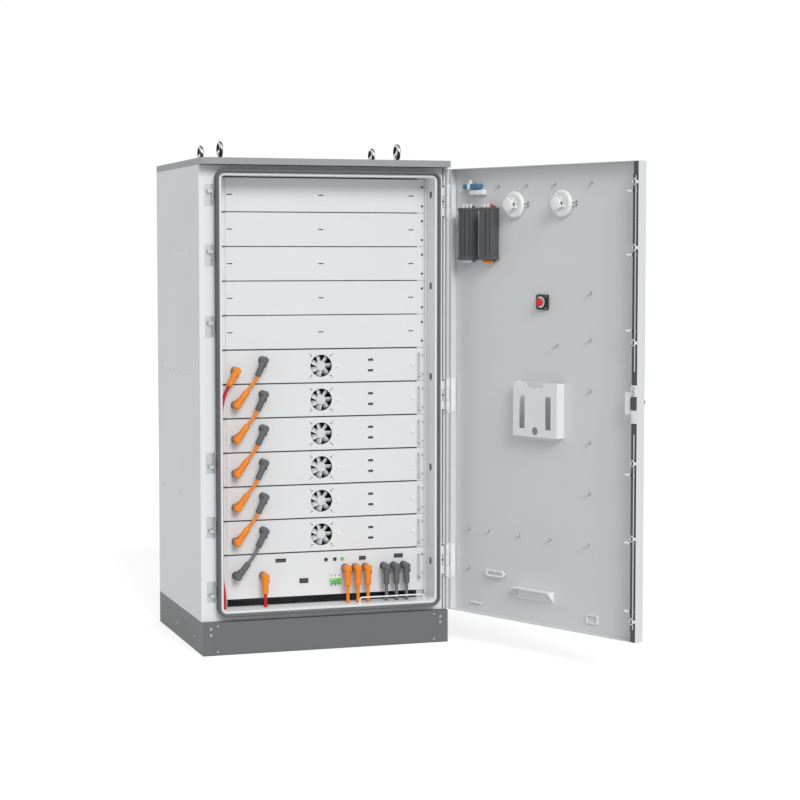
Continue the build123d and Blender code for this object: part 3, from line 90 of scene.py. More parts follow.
# ---------------------------------------------------------------- mesh drawing
class Draft:
    """A mesh drawn in millimetres, set in the frame in metres when it is finished."""

    def __init__(self) -> None:
        """Start an empty mesh."""
        self.mesh = bmesh.new()

    def loft(self, rings: Sequence[Sequence[Vector]], capped: bool = True, looped: bool = False) -> None:
        """Skin a run of closed rings.

        Args:
            rings: rings of points, all with the same count.
            capped: close both ends.
            looped: join the last ring to the first.
        """
        loops = [[self.mesh.verts.new(p) for p in ring] for ring in rings]
        if looped:
            loops.append(loops[0])
        for low, high in zip(loops, loops[1:]):
            for i in range(len(low)):
                j = (i + 1) % len(low)
                self.mesh.faces.new((low[i], low[j], high[j], high[i]))
        if capped and not looped:
            self.mesh.faces.new(loops[0][::-1])
            self.mesh.faces.new(loops[-1])

    def lathe(self, profile: Sequence[Sequence[float]], place: Matrix = IDENTITY, segments: int = 32) -> None:
        """Turn a profile about the place's Z axis.

        Args:
            profile: (radius, height) or (radius, height, sides) rows; sides makes a polygon of that ring.
            place: where the axis stands.
            segments: points on each ring, a multiple of every polygon's sides.
        """
        rings = []
        for row in profile:
            sides = int(row[2]) if len(row) > 2 else 0
            ring = []
            for i in range(segments):
                angle = 2 * pi * i / segments
                reach = row[0]
                if sides:
                    step = 2 * pi / sides
                    reach *= cos(step / 2) / cos((angle % step) - step / 2)
                ring.append(place @ Vector((reach * cos(angle), reach * sin(angle), row[1])))
            rings.append(ring)
        self.loft(rings)

    def prism(self, outline: Sequence[Flat], low: float, high: float, place: Matrix = IDENTITY,
              ease: float = 0.0) -> None:
        """Extrude a convex outline along the place's Z axis, with eased end edges.

        Args:
            outline: points in the place's XY plane, counter-clockwise.
            low: start height.
            high: end height.
            place: where the outline stands.
            ease: size of the chamfer at both ends.
        """
        cx = sum(p[0] for p in outline) / len(outline)
        cy = sum(p[1] for p in outline) / len(outline)
        reach = max(max(abs(p[0] - cx), abs(p[1] - cy)) for p in outline)
        shrink = 1.0 - ease / reach
        rows = [(shrink, low), (1.0, low + ease), (1.0, high - ease),
                (shrink, high)] if ease else [(1.0, low), (1.0, high)]
        self.loft([[place @ Vector((cx + (x - cx) * s, cy + (y - cy) * s, h)) for x, y in outline] for s, h in rows])

    def slab(self, low: Point, high: Point, bevel: float = 0.4, place: Matrix = IDENTITY, segments: int = 2) -> None:
        """Add a block between two corners with rounded edges.

        Args:
            low: lowest corner.
            high: highest corner.
            bevel: edge radius.
            place: where the block's own frame stands.
            segments: steps across each rounded edge.
        """
        a, b = Vector(low), Vector(high)
        size = b - a
        fit = place @ Matrix.Translation((a + b) / 2) @ Matrix.Diagonal((size.x, size.y, size.z, 1.0))
        made = bmesh.ops.create_cube(self.mesh, size=1.0, matrix=fit)
        if bevel:
            edges = {edge for vert in made["verts"] for edge in vert.link_edges}
            bmesh.ops.bevel(self.mesh, geom=list(edges), offset=bevel, segments=segments, profile=0.5, affect="EDGES")

    def tube(self, points: Sequence[Vector], radius: float, sides: int = 16, looped: bool = False) -> None:
        """Sweep a circle along a run of points without twist.

        Args:
            points: the run's points.
            radius: the tube's radius.
            sides: points round the tube.
            looped: join the run's end to its start.
        """
        count = len(points)
        rings = []
        normal = None
        for i, point in enumerate(points):
            before = points[i - 1] if i or looped else point
            after = points[(i + 1) % count] if i + 1 < count or looped else point
            along = (after - before).normalized()
            if normal is None:
                normal = along.orthogonal().normalized()
            normal = (normal - along * normal.dot(along)).normalized()
            across = along.cross(normal)
            rings.append([point + radius * (cos(a) * normal + sin(a) * across)
                          for a in (2 * pi * k / sides for k in range(sides))])
        self.loft(rings, looped=looped)

    def finish(self, name: str, body: str, slot: str, door: bool = False, crease: float = 35.0) -> bpy.types.Object:
        """Turn the drawing into an object that rides a body.

        Args:
            name: the piece's name.
            body: the CAD body that it moves with.
            slot: the record's material slot.
            door: the drawing is in closed-door places.
            crease: edges sharper than this many degrees stay sharp.

        Returns:
            The finished object.
        """
        bmesh.ops.recalc_face_normals(self.mesh, faces=self.mesh.faces)
        move = Matrix.Scale(MM, 4) @ (DOOR_SWING if door else IDENTITY)
        bmesh.ops.transform(self.mesh, matrix=move, verts=self.mesh.verts)
        data = bpy.data.meshes.new(name)
        self.mesh.to_mesh(data)
        self.mesh.free()
        data.shade_smooth()
        data.set_sharp_from_angle(angle=radians(crease))
        piece = bpy.data.objects.new(name, data)
        bpy.context.scene.collection.objects.link(piece)
        data.materials.append(FINISHES.material(slot))
        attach(piece, body)
        log.info("%s: %d faces on %s", name, len(data.polygons), body)
        return piece


def rounded(u0: float, u1: float, v0: float, v1: float, radius: float, steps: int = 5) -> list[Flat]:
    """Outline of a rectangle with rounded corners, counter-clockwise.

    Args:
        u0: left.
        u1: right.
        v0: bottom.
        v1: top.
        radius: corner radius.
        steps: pieces of each corner's arc.

    Returns:
        The outline's points.
    """
    corners = ((u1 - radius, v1 - radius, 0), (u0 + radius, v1 - radius, 90),
               (u0 + radius, v0 + radius, 180), (u1 - radius, v0 + radius, 270))
    return [(cu + radius * cos(radians(start + 90 * i / steps)), cv + radius * sin(radians(start + 90 * i / steps)))
            for cu, cv, start in corners for i in range(steps + 1)]


# ---------------------------------------------------------------- shader effects
class Effects:
    """Shader node groups that the finishes share, each built once."""

    def __init__(self) -> None:
        """Build every group."""
        self.grain = self._grain()
        self.wear_and_highlight = self._wear_and_highlight()
        self.dust = self._dust()
        self.shade = self._shade()
        self.painted_reflections = self._painted_reflections()

    @staticmethod
    def _group(name: str, inputs: Sequence[tuple[str, str, float]], outputs: Sequence[tuple[str, str]]
               ) -> tuple[bpy.types.NodeTree, bpy.types.Node, bpy.types.Node]:
        """Make an empty group with named sockets.

        Args:
            name: the group's name.
            inputs: (name, kind, default) rows.
            outputs: (name, kind) rows.

        Returns:
            (group, its input node, its output node).
        """
        group = bpy.data.node_groups.new(name, "ShaderNodeTree")
        for label, kind, default in inputs:
            socket = group.interface.new_socket(label, in_out="INPUT", socket_type=kind)
            socket.default_value = default
        for label, kind in outputs:
            group.interface.new_socket(label, in_out="OUTPUT", socket_type=kind)
        return group, group.nodes.new("NodeGroupInput"), group.nodes.new("NodeGroupOutput")

    @staticmethod
    def _math(tree: bpy.types.NodeTree, kind: str, *values: object, clamp: bool = False) -> bpy.types.NodeSocket:
        """Add a Math node and return its output.

        Args:
            tree: the node tree.
            kind: the operation.
            *values: sockets or numbers for its inputs.
            clamp: keep the result from 0 to 1.

        Returns:
            The output socket.
        """
        node = tree.nodes.new("ShaderNodeMath")
        node.operation, node.use_clamp = kind, clamp
        for socket, value in zip(node.inputs, values):
            if isinstance(value, (int, float)):
                socket.default_value = value
            else:
                tree.links.new(value, socket)
        return node.outputs[0]

    def _noise(self, tree: bpy.types.NodeTree, scale: object, stretch: Point = (1, 1, 1),
               detail: float = 2.0) -> bpy.types.NodeSocket:
        """Add an object-space noise and return its value.

        Args:
            tree: the node tree.
            scale: a socket or number.
            stretch: scale along each axis.
            detail: octaves.

        Returns:
            The noise's value socket.
        """
        place = tree.nodes.new("ShaderNodeTexCoord")
        mapping = tree.nodes.new("ShaderNodeMapping")
        mapping.inputs["Scale"].default_value = stretch
        noise = tree.nodes.new("ShaderNodeTexNoise")
        noise.inputs["Detail"].default_value = detail
        tree.links.new(place.outputs["Object"], mapping.inputs["Vector"])
        tree.links.new(mapping.outputs["Vector"], noise.inputs["Vector"])
        if isinstance(scale, (int, float)):
            noise.inputs["Scale"].default_value = scale
        else:
            tree.links.new(scale, noise.inputs["Scale"])
        return noise.outputs["Fac"]

    def _grain(self) -> bpy.types.NodeTree:
        """Fine relief and broad tone, stretched along Z by the Stretch input.

        Returns:
            The group.
        """
        tree, inlet, outlet = self._group("Surface Grain", [("Scale", "NodeSocketFloat", 900.0),
                                          ("Tone Scale", "NodeSocketFloat", 3.0), ("Stretch", "NodeSocketFloat", 1.0)],
                                          [("Height", "NodeSocketFloat"), ("Tone", "NodeSocketFloat")])
        place = tree.nodes.new("ShaderNodeTexCoord")
        split = tree.nodes.new("ShaderNodeSeparateXYZ")
        join = tree.nodes.new("ShaderNodeCombineXYZ")
        tree.links.new(place.outputs["Object"], split.inputs[0])
        tree.links.new(split.outputs["X"], join.inputs["X"])
        tree.links.new(split.outputs["Y"], join.inputs["Y"])
        tree.links.new(self._math(tree, "MULTIPLY", split.outputs["Z"], inlet.outputs["Stretch"]), join.inputs["Z"])
        for label, scale, detail in (("Height", "Scale", 2.0), ("Tone", "Tone Scale", 5.0)):
            noise = tree.nodes.new("ShaderNodeTexNoise")
            noise.inputs["Detail"].default_value = detail
            tree.links.new(join.outputs[0], noise.inputs["Vector"])
            tree.links.new(inlet.outputs[scale], noise.inputs["Scale"])
            tree.links.new(noise.outputs["Fac"], outlet.inputs[label])
        return tree

    def _wear_and_highlight(self) -> bpy.types.NodeTree:
        """Mask of outer edges, broken up by noise: edge wear and a painted highlight along the edges.

        Returns:
            The group.
        """
        tree, inlet, outlet = self._group("Edge Wear And Highlight", [("Radius", "NodeSocketFloat", 0.0012),
                                          ("Amount", "NodeSocketFloat", 0.5)], [("Mask", "NodeSocketFloat")])
        soft = tree.nodes.new("ShaderNodeBevel")
        soft.samples = 4
        true = tree.nodes.new("ShaderNodeNewGeometry")
        dot = tree.nodes.new("ShaderNodeVectorMath")
        dot.operation = "DOT_PRODUCT"
        tree.links.new(inlet.outputs["Radius"], soft.inputs["Radius"])
        tree.links.new(soft.outputs[0], dot.inputs[0])
        tree.links.new(true.outputs["Normal"], dot.inputs[1])
        edge = self._math(tree, "MULTIPLY", self._math(tree, "SUBTRACT", 1.0, dot.outputs["Value"]), 5.0, clamp=True)
        broken = self._math(tree, "MULTIPLY", edge, self._noise(tree, 55.0, detail=4.0))
        tree.links.new(self._math(tree, "MULTIPLY", broken, inlet.outputs["Amount"], clamp=True), outlet.inputs["Mask"])
        return tree

    def _dust(self) -> bpy.types.NodeTree:
        """Mask of dust that settles on faces that look up.

        Returns:
            The group.
        """
        tree, inlet, outlet = self._group("Settled Dust", [("Amount", "NodeSocketFloat", 0.3)],
                                          [("Mask", "NodeSocketFloat")])
        true = tree.nodes.new("ShaderNodeNewGeometry")
        split = tree.nodes.new("ShaderNodeSeparateXYZ")
        tree.links.new(true.outputs["Normal"], split.inputs[0])
        up = self._math(tree, "SMOOTH_MIN", split.outputs["Z"], 1.0, 0.1, clamp=True)
        patchy = self._math(tree, "MULTIPLY", up, self._noise(tree, 14.0, detail=6.0))
        tree.links.new(self._math(tree, "MULTIPLY", patchy, inlet.outputs["Amount"], clamp=True), outlet.inputs["Mask"])
        return tree

    def _shade(self) -> bpy.types.NodeTree:
        """Mask of painted shade: corners and seams darken by ambient occlusion.

        Returns:
            The group.
        """
        tree, inlet, outlet = self._group("Corner Painted Shade", [("Distance", "NodeSocketFloat", 0.01),
                                          ("Amount", "NodeSocketFloat", 0.4)], [("Mask", "NodeSocketFloat")])
        hollow = tree.nodes.new("ShaderNodeAmbientOcclusion")
        hollow.samples = 4
        tree.links.new(inlet.outputs["Distance"], hollow.inputs["Distance"])
        deep = self._math(tree, "SUBTRACT", 1.0, hollow.outputs["AO"], clamp=True)
        tree.links.new(self._math(tree, "MULTIPLY", deep, inlet.outputs["Amount"], clamp=True), outlet.inputs["Mask"])
        return tree

    def _painted_reflections(self) -> bpy.types.NodeTree:
        """Mask of painted reflection: dark bands set by the way the surface faces, standing in for the reflections that
        polished metal shows round its curves.

        Returns:
            The group.
        """
        tree, inlet, outlet = self._group("Painted Reflection Bands", [("Amount", "NodeSocketFloat", 0.9)],
                                          [("Mask", "NodeSocketFloat")])
        true = tree.nodes.new("ShaderNodeNewGeometry")
        dot = tree.nodes.new("ShaderNodeVectorMath")
        dot.operation = "DOT_PRODUCT"
        dot.inputs[1].default_value = (2.6, 3.4, 4.6)
        tree.links.new(true.outputs["Normal"], dot.inputs[0])
        wave = self._math(tree, "SINE", dot.outputs["Value"])
        mask = self._math(tree, "MULTIPLY_ADD", wave, 3.0, 0.6, clamp=True)
        tree.links.new(self._math(tree, "MULTIPLY", mask, inlet.outputs["Amount"], clamp=True), outlet.inputs["Mask"])
        return tree


class Surface(Enum):
    """Kinds of surface, with (grain scale, grain stretch, relief in metres)."""

    POWDER_COAT = (750.0, 1.0, 0.00006)
    PLATED = (420.0, 0.06, 0.00002)
    MOULDED = (2400.0, 1.0, 0.00004)
    RUBBER = (1400.0, 1.0, 0.00009)
    LENS = (300.0, 1.0, 0.00001)


@dataclass(frozen=True)
class Finish:
    """One material slot's look."""

    slot: str
    colour: str
    surface: Surface
    rough: float = 0.5
    metal: float = 0.0
    tone: float = 0.06
    # edge wear and a painted highlight: outer edges turn to the lighter wear colour
    wear_and_highlight: float = 0.0
    wear_and_highlight_colour: str = "f2f2f0"
    dust: float = 0.15
    # painted shade: corners and seams darken by ambient occlusion
    painted_shade: float = 0.45
    coat: float = 0.0
    glow: float = 0.0
    # painted reflection: dark bands on polished metal
    painted_reflections: float = 0.0

    @staticmethod
    def linear(code: str) -> tuple[float, float, float, float]:
        """Linear RGBA of a hex colour."""
        values = [int(code[i:i + 2], 16) / 255 for i in (0, 2, 4)]
        return (*(v / 12.92 if v <= 0.04045 else ((v + 0.055) / 1.055) ** 2.4 for v in values), 1.0)

    def build(self, effects: Effects) -> bpy.types.Material:
        """Make the material.

        Args:
            effects: the shared node groups.

        Returns:
            The material.
        """
        made = bpy.data.materials.new(self.slot)
        made.use_nodes = True
        tree = made.node_tree
        shader = tree.nodes["Principled BSDF"]
        scale, stretch, relief = self.surface.value

        def place(group: bpy.types.NodeTree, **values: float) -> bpy.types.Node:
            """Put a group in the material with its own values."""
            node = tree.nodes.new("ShaderNodeGroup")
            node.node_tree = group
            for label, value in values.items():
                node.inputs[label.replace("_", " ")].default_value = value
            return node

        def blend(factor: bpy.types.NodeSocket, under: object, over: object) -> bpy.types.NodeSocket:
            """Mix two colours by a mask and return the result."""
            node = tree.nodes.new("ShaderNodeMix")
            node.data_type = "RGBA"
            tree.links.new(factor, node.inputs["Factor"])
            for socket, value in ((node.inputs[6], under), (node.inputs[7], over)):
                if isinstance(value, tuple):
                    socket.default_value = value
                else:
                    tree.links.new(value, socket)
            return node.outputs[2]

        base = self.linear(self.colour)
        lighter = (*(min(1.0, c * (1 + self.tone)) for c in base[:3]), 1.0)
        darker = (*(c * (1 - self.tone) for c in base[:3]), 1.0)
        grain = place(effects.grain, Scale=scale, Tone_Scale=4.0, Stretch=stretch)
        painted_shade = place(effects.shade, Amount=self.painted_shade)
        colour = blend(grain.outputs["Tone"], darker, lighter)
        # Painted shade: corners and seams darken towards a quarter of the base colour.
        colour = blend(painted_shade.outputs["Mask"], colour, (*(c * 0.25 for c in base[:3]), 1.0))
        if self.dust:
            dust = place(effects.dust, Amount=self.dust)
            colour = blend(dust.outputs["Mask"], colour, self.linear("b9b6ae"))
        # Edge wear and a painted highlight: outer edges blend to the lighter wear colour.
        if self.wear_and_highlight:
            wear_and_highlight = place(effects.wear_and_highlight, Amount=self.wear_and_highlight)
            colour = blend(wear_and_highlight.outputs["Mask"], colour, self.linear(self.wear_and_highlight_colour))
        # Painted reflection: dark bands of 131416 by the way the surface faces.
        if self.painted_reflections:
            painted_reflections = place(effects.painted_reflections, Amount=self.painted_reflections)
            colour = blend(painted_reflections.outputs["Mask"], colour, self.linear("131416"))
        tree.links.new(colour, shader.inputs["Base Color"])
        gloss = tree.nodes.new("ShaderNodeMapRange")
        gloss.inputs["To Min"].default_value = max(0.03, self.rough - 0.06)
        gloss.inputs["To Max"].default_value = min(1.0, self.rough + 0.06)
        tree.links.new(grain.outputs["Tone"], gloss.inputs["Value"])
        tree.links.new(gloss.outputs[0], shader.inputs["Roughness"])
        bump = tree.nodes.new("ShaderNodeBump")
        bump.inputs["Distance"].default_value = relief
        tree.links.new(grain.outputs["Height"], bump.inputs["Height"])
        tree.links.new(bump.outputs[0], shader.inputs["Normal"])
        shader.inputs["Metallic"].default_value = self.metal
        shader.inputs["Coat Weight"].default_value = self.coat
        if self.glow:
            shader.inputs["Emission Color"].default_value = base
            shader.inputs["Emission Strength"].default_value = self.glow
        return made


class FinishShop:
    """Every finish of the cabinet, by slot name."""

    def __init__(self, finishes: Iterable[Finish]) -> None:
        """Build all the materials."""
        effects = Effects()
        self._made = {f.slot: f.build(effects) for f in finishes}

    def material(self, slot: str) -> bpy.types.Material:
        """Material of a slot."""
        return self._made[slot]


FINISHES = FinishShop((
    Finish("cabinet_paint", "e8eaec", Surface.POWDER_COAT, rough=0.42, tone=0.015, wear_and_highlight=0.25, dust=0.08, painted_shade=0.2),
    # door_paint is a darker copy of the cabinet paint: painted shade for the door's inner face.
    Finish("door_paint", "dadcde", Surface.POWDER_COAT, rough=0.45, tone=0.02, wear_and_highlight=0.25, dust=0.05, painted_shade=0.2),
    Finish("plinth_paint", "68696b", Surface.POWDER_COAT, rough=0.5, tone=0.05, wear_and_highlight=0.2, wear_and_highlight_colour="a5a6a8"),
    Finish("roof_paint", "989a9c", Surface.POWDER_COAT, rough=0.42, tone=0.03, wear_and_highlight=0.2, wear_and_highlight_colour="d0d1d2"),
    Finish("panel_paint", "dfe0e1", Surface.POWDER_COAT, rough=0.5, tone=0.015, wear_and_highlight=0.2, dust=0.04, painted_shade=0.2),
    Finish("zinc_steel", "c3c5c8", Surface.PLATED, rough=0.34, metal=0.85, tone=0.08),
    Finish("chrome_steel", "d0d1d4", Surface.PLATED, rough=0.16, metal=1.0, tone=0.03, painted_reflections=0.95),
    Finish("white_metal", "eef0f1", Surface.POWDER_COAT, rough=0.38, tone=0.015, wear_and_highlight=0.2),
    Finish("dark_metal", "4d4f52", Surface.PLATED, rough=0.4, metal=0.6, tone=0.08, wear_and_highlight=0.5, wear_and_highlight_colour="a0a2a4"),
    Finish("seal_rubber", "626468", Surface.RUBBER, rough=0.7, tone=0.08),
    Finish("orange_plastic", "f0880f", Surface.MOULDED, rough=0.42, tone=0.04, wear_and_highlight=0.2, wear_and_highlight_colour="ffc27a"),
    Finish("grey_plastic", "5b5d61", Surface.MOULDED, rough=0.45, tone=0.05, wear_and_highlight=0.3, wear_and_highlight_colour="a8aaad"),
    Finish("orange_jacket", "ec8410", Surface.RUBBER, rough=0.48, tone=0.05),
    Finish("grey_jacket", "6c6e72", Surface.RUBBER, rough=0.5, tone=0.05),
    Finish("red_jacket", "ba0815", Surface.RUBBER, rough=0.42, tone=0.05),
    Finish("white_plastic", "f1f2f2", Surface.MOULDED, rough=0.4, tone=0.01, dust=0.05, painted_shade=0.25),
    Finish("fan_plastic", "d3d5d8", Surface.MOULDED, rough=0.45, tone=0.03, dust=0.1),
    Finish("black_plastic", "1d1e20", Surface.MOULDED, rough=0.42, tone=0.1, wear_and_highlight=0.25, wear_and_highlight_colour="55575a"),
    Finish("device_grey", "545558", Surface.POWDER_COAT, rough=0.45, tone=0.04, wear_and_highlight=0.4, wear_and_highlight_colour="b4b6b8"),
    Finish("green_plastic", "5fc25f", Surface.LENS, rough=0.3, tone=0.04, coat=0.4),
    Finish("red_plastic", "de0410", Surface.LENS, rough=0.45, tone=0.03, coat=0.1),
    Finish("blue_plastic", "4a7ba0", Surface.MOULDED, rough=0.42, tone=0.04, wear_and_highlight=0.2, wear_and_highlight_colour="7fa9c8"),
    Finish("cell_wrap", "1f3a56", Surface.MOULDED, rough=0.35, tone=0.06),
))


# ---------------------------------------------------------------- CAD nodes
@dataclass(frozen=True)
class Dress:
    """How one CAD node is finished: its slot and the rounding of its edges in millimetres."""

    node: str
    slot: str
    edge: float = 0.5

    def apply(self) -> None:
        """Give the node its material and rounded edges."""
        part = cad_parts[self.node]
        part.data.materials.clear()
        part.data.materials.append(FINISHES.material(self.slot))
        if self.edge:
            weld = part.modifiers.new("weld", "WELD")
            weld.merge_threshold = 0.00002
            bevel = part.modifiers.new("edge", "BEVEL")
            bevel.width, bevel.segments = self.edge * MM, 2
            bevel.limit_method, bevel.angle_limit = "ANGLE", radians(40)
            bevel.harden_normals = True
        log.info("%s: %s", self.node, self.slot)


NODE_DRESS = (
    ("cabinet_paint", 0.6, ("side_wall_left", "side_wall_right", "rear_wall", "front_frame", "top_plate",
                            "floor_plate")),
    ("roof_paint", 1.0, ("roof_canopy",)),
    ("plinth_paint", 0.8, ("plinth_corner_posts", "plinth_cover_plates", "plinth_cable_entry_plates")),
    ("door_paint", 0.8, ("door_pan",)),
    ("cabinet_paint", 0.5, ("document_pocket",)),
    ("panel_paint", 0.5, ("blank_panels", "module_front_plates", "module_handles", "control_box_case")),
    ("zinc_steel", 0.3, ("rack_posts_and_rails", "rack_runners", "module_cases", "lock_keepers")),
    ("cell_wrap", 0.0, ("module_cell_blocks",)),
    ("dark_metal", 0.5, ("lock_rod_upper", "lock_rod_lower")),
    ("white_metal", 0.4, ("door_brackets", "lock_case_and_rod_guides", "hinge_frame_leaves", "hinge_door_leaves",
                          "cable_bar")),
    ("black_plastic", 0.8, ("handle_rosette", "swing_handle", "emergency_stop_base", "control_button_left",
                            "control_button_right", "floor_couplers")),
    ("fan_plastic", 0.3, tuple(f"fan_impeller_{i}" for i in range(1, 7))),
    ("black_plastic", 0.0, ("fan_frames",)),
    ("green_plastic", 0.3, ("power_button", "breaker_toggle")),
    ("white_plastic", 0.4, ("breaker_body",)),
    ("orange_jacket", 0.0, ("orange_cables",)),
    ("grey_jacket", 0.0, ("grey_cables",)),
    ("red_jacket", 0.0, ("red_cable",)),
)


def screw_head(draft: Draft, place: Matrix, radius: float, rise: float, washer: float = 0.0) -> None:
    """Add a domed screw head with a hexagonal socket.

    Args:
        draft: the drawing.
        place: the seat, Z out of the surface.
        radius: head radius.
        rise: head height.
        washer: washer radius, or 0 for none.
    """
    if washer:
        draft.lathe([(washer, 0.0), (washer, 0.5), (washer - 0.3, 0.7), (radius * 0.9, 0.7)], place, 24)
    socket = radius * 0.5
    draft.lathe([(radius * 0.97, 0.0), (radius, rise * 0.35), (radius * 0.86, rise * 0.8), (radius * 0.66, rise),
                 (socket * 1.06, rise, 6), (socket, rise * 0.92, 6), (socket, rise * 0.3, 6)], place, 24)


# ---------------------------------------------------------------- casing
@dataclass
class Casing:
    """Screw heads, bulb seal and lifting eyes of the steel cabinet."""

    wall: float = 522.5
    plinth_front: float = -441.0
    rear: float = 412.5
    rail_rows: tuple = ((1635.0, (162.0, -42.0, -238.0)), (1129.0, (318.0, 162.0, -40.0, -239.0)),
                        (620.0, (318.0, -40.0)))
    entry_row: float = 57.0
    entry_ys: tuple[float, ...] = (262.5, 62.0, 22.0, -291.0)
    opening: tuple[float, float, float, float] = (-439.0, 460.0, 180.0, 1931.0)
    rim_radius: float = 24.0
    seal_profile: tuple[Flat, ...] = ((10.0, -424.5), (10.0, -455.0), (11.5, -462.5), (14.5, -466.2), (18.0, -466.8),
                                      (21.2, -464.8), (22.8, -460.0), (22.8, -452.0), (20.6, -448.6), (20.6, -444.0),
                                      (22.8, -441.0), (22.8, -424.5))
    eye_xs: tuple[float, float] = (-382.0, 382.0)
    eye_ys: tuple[float, float] = (-187.0, 168.0)
    roof_top: float = 2000.0

    def screws(self) -> None:
        """Replace the plain screw heads on the walls and plinth."""
        draft = Draft()
        for side in (-1, 1):
            for z in (109.0, 85.0):
                screw_head(draft, front(side * (self.wall - 33.0), self.plinth_front, z), 6.6, 4.6)
                screw_head(draft, inward(side * (self.wall - 33.0), self.rear, z), 6.6, 4.6)
            for z in (120.0, 15.0):
                screw_head(draft, front(side * (self.wall - 61.0), self.plinth_front, z), 4.3, 2.3)
                screw_head(draft, inward(side * (self.wall - 61.0), self.rear, z), 4.3, 2.3)
            rows = ((self.entry_row, self.entry_ys), *self.rail_rows)
            for z, ys in rows:
                for y in ys:
                    screw_head(draft, outward(side, side * self.wall, y, z), 4.3, 2.3)
        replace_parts(draft.finish("casing_screw_heads", "cabinet", "zinc_steel"), "casing_screws")

    def seal(self) -> None:
        """Replace the seal by its bulb section run round the rim."""
        x0, x1, z0, z1 = self.opening
        rings = []
        for reach, y in self.seal_profile:
            run = rounded(x0 - reach, x1 + reach, z0 - reach, z1 + reach, self.rim_radius + reach - 10.0, 8)
            rings.append([Vector((x, y, z)) for x, z in run])
        draft = Draft()
        draft.loft(rings, looped=True)
        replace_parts(draft.finish("seal_bulb", "cabinet", "seal_rubber"), "door_seal")

    def eyes(self) -> None:
        """Replace the lifting eyes by forged eye bolts."""
        draft = Draft()
        for x in self.eye_xs:
            for y in self.eye_ys:
                seat = upright(x, y, self.roof_top)
                draft.lathe([(19.2, 0.0), (20.0, 0.8), (20.0, 5.0), (19.0, 6.2), (15.0, 8.0), (11.5, 11.0), (9.0, 15.0),
                             (7.6, 20.0)], seat, 40)
                centre = Vector((x, y, self.roof_top + 44.0))
                ring = [centre + 28.0 * Vector((0.0, sin(a), cos(a))) for a in (2 * pi * i / 48 for i in range(48))]
                draft.tube(ring, 7.9, 20, looped=True)
                draft.lathe([(9.0, -17.6), (9.8, -16.8), (9.8, 0.5)], seat, 24)
                draft.lathe([(15.5, -17.0, 6), (17.0, -16.0, 6), (17.0, -3.6, 6), (15.5, -2.6, 6)], seat, 24)
        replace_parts(draft.finish("forged_lifting_eyes", "cabinet", "chrome_steel"), "lifting_eye_bolts")

    def build(self) -> None:
        """Make every piece."""
        self.screws()
        self.seal()
        self.eyes()


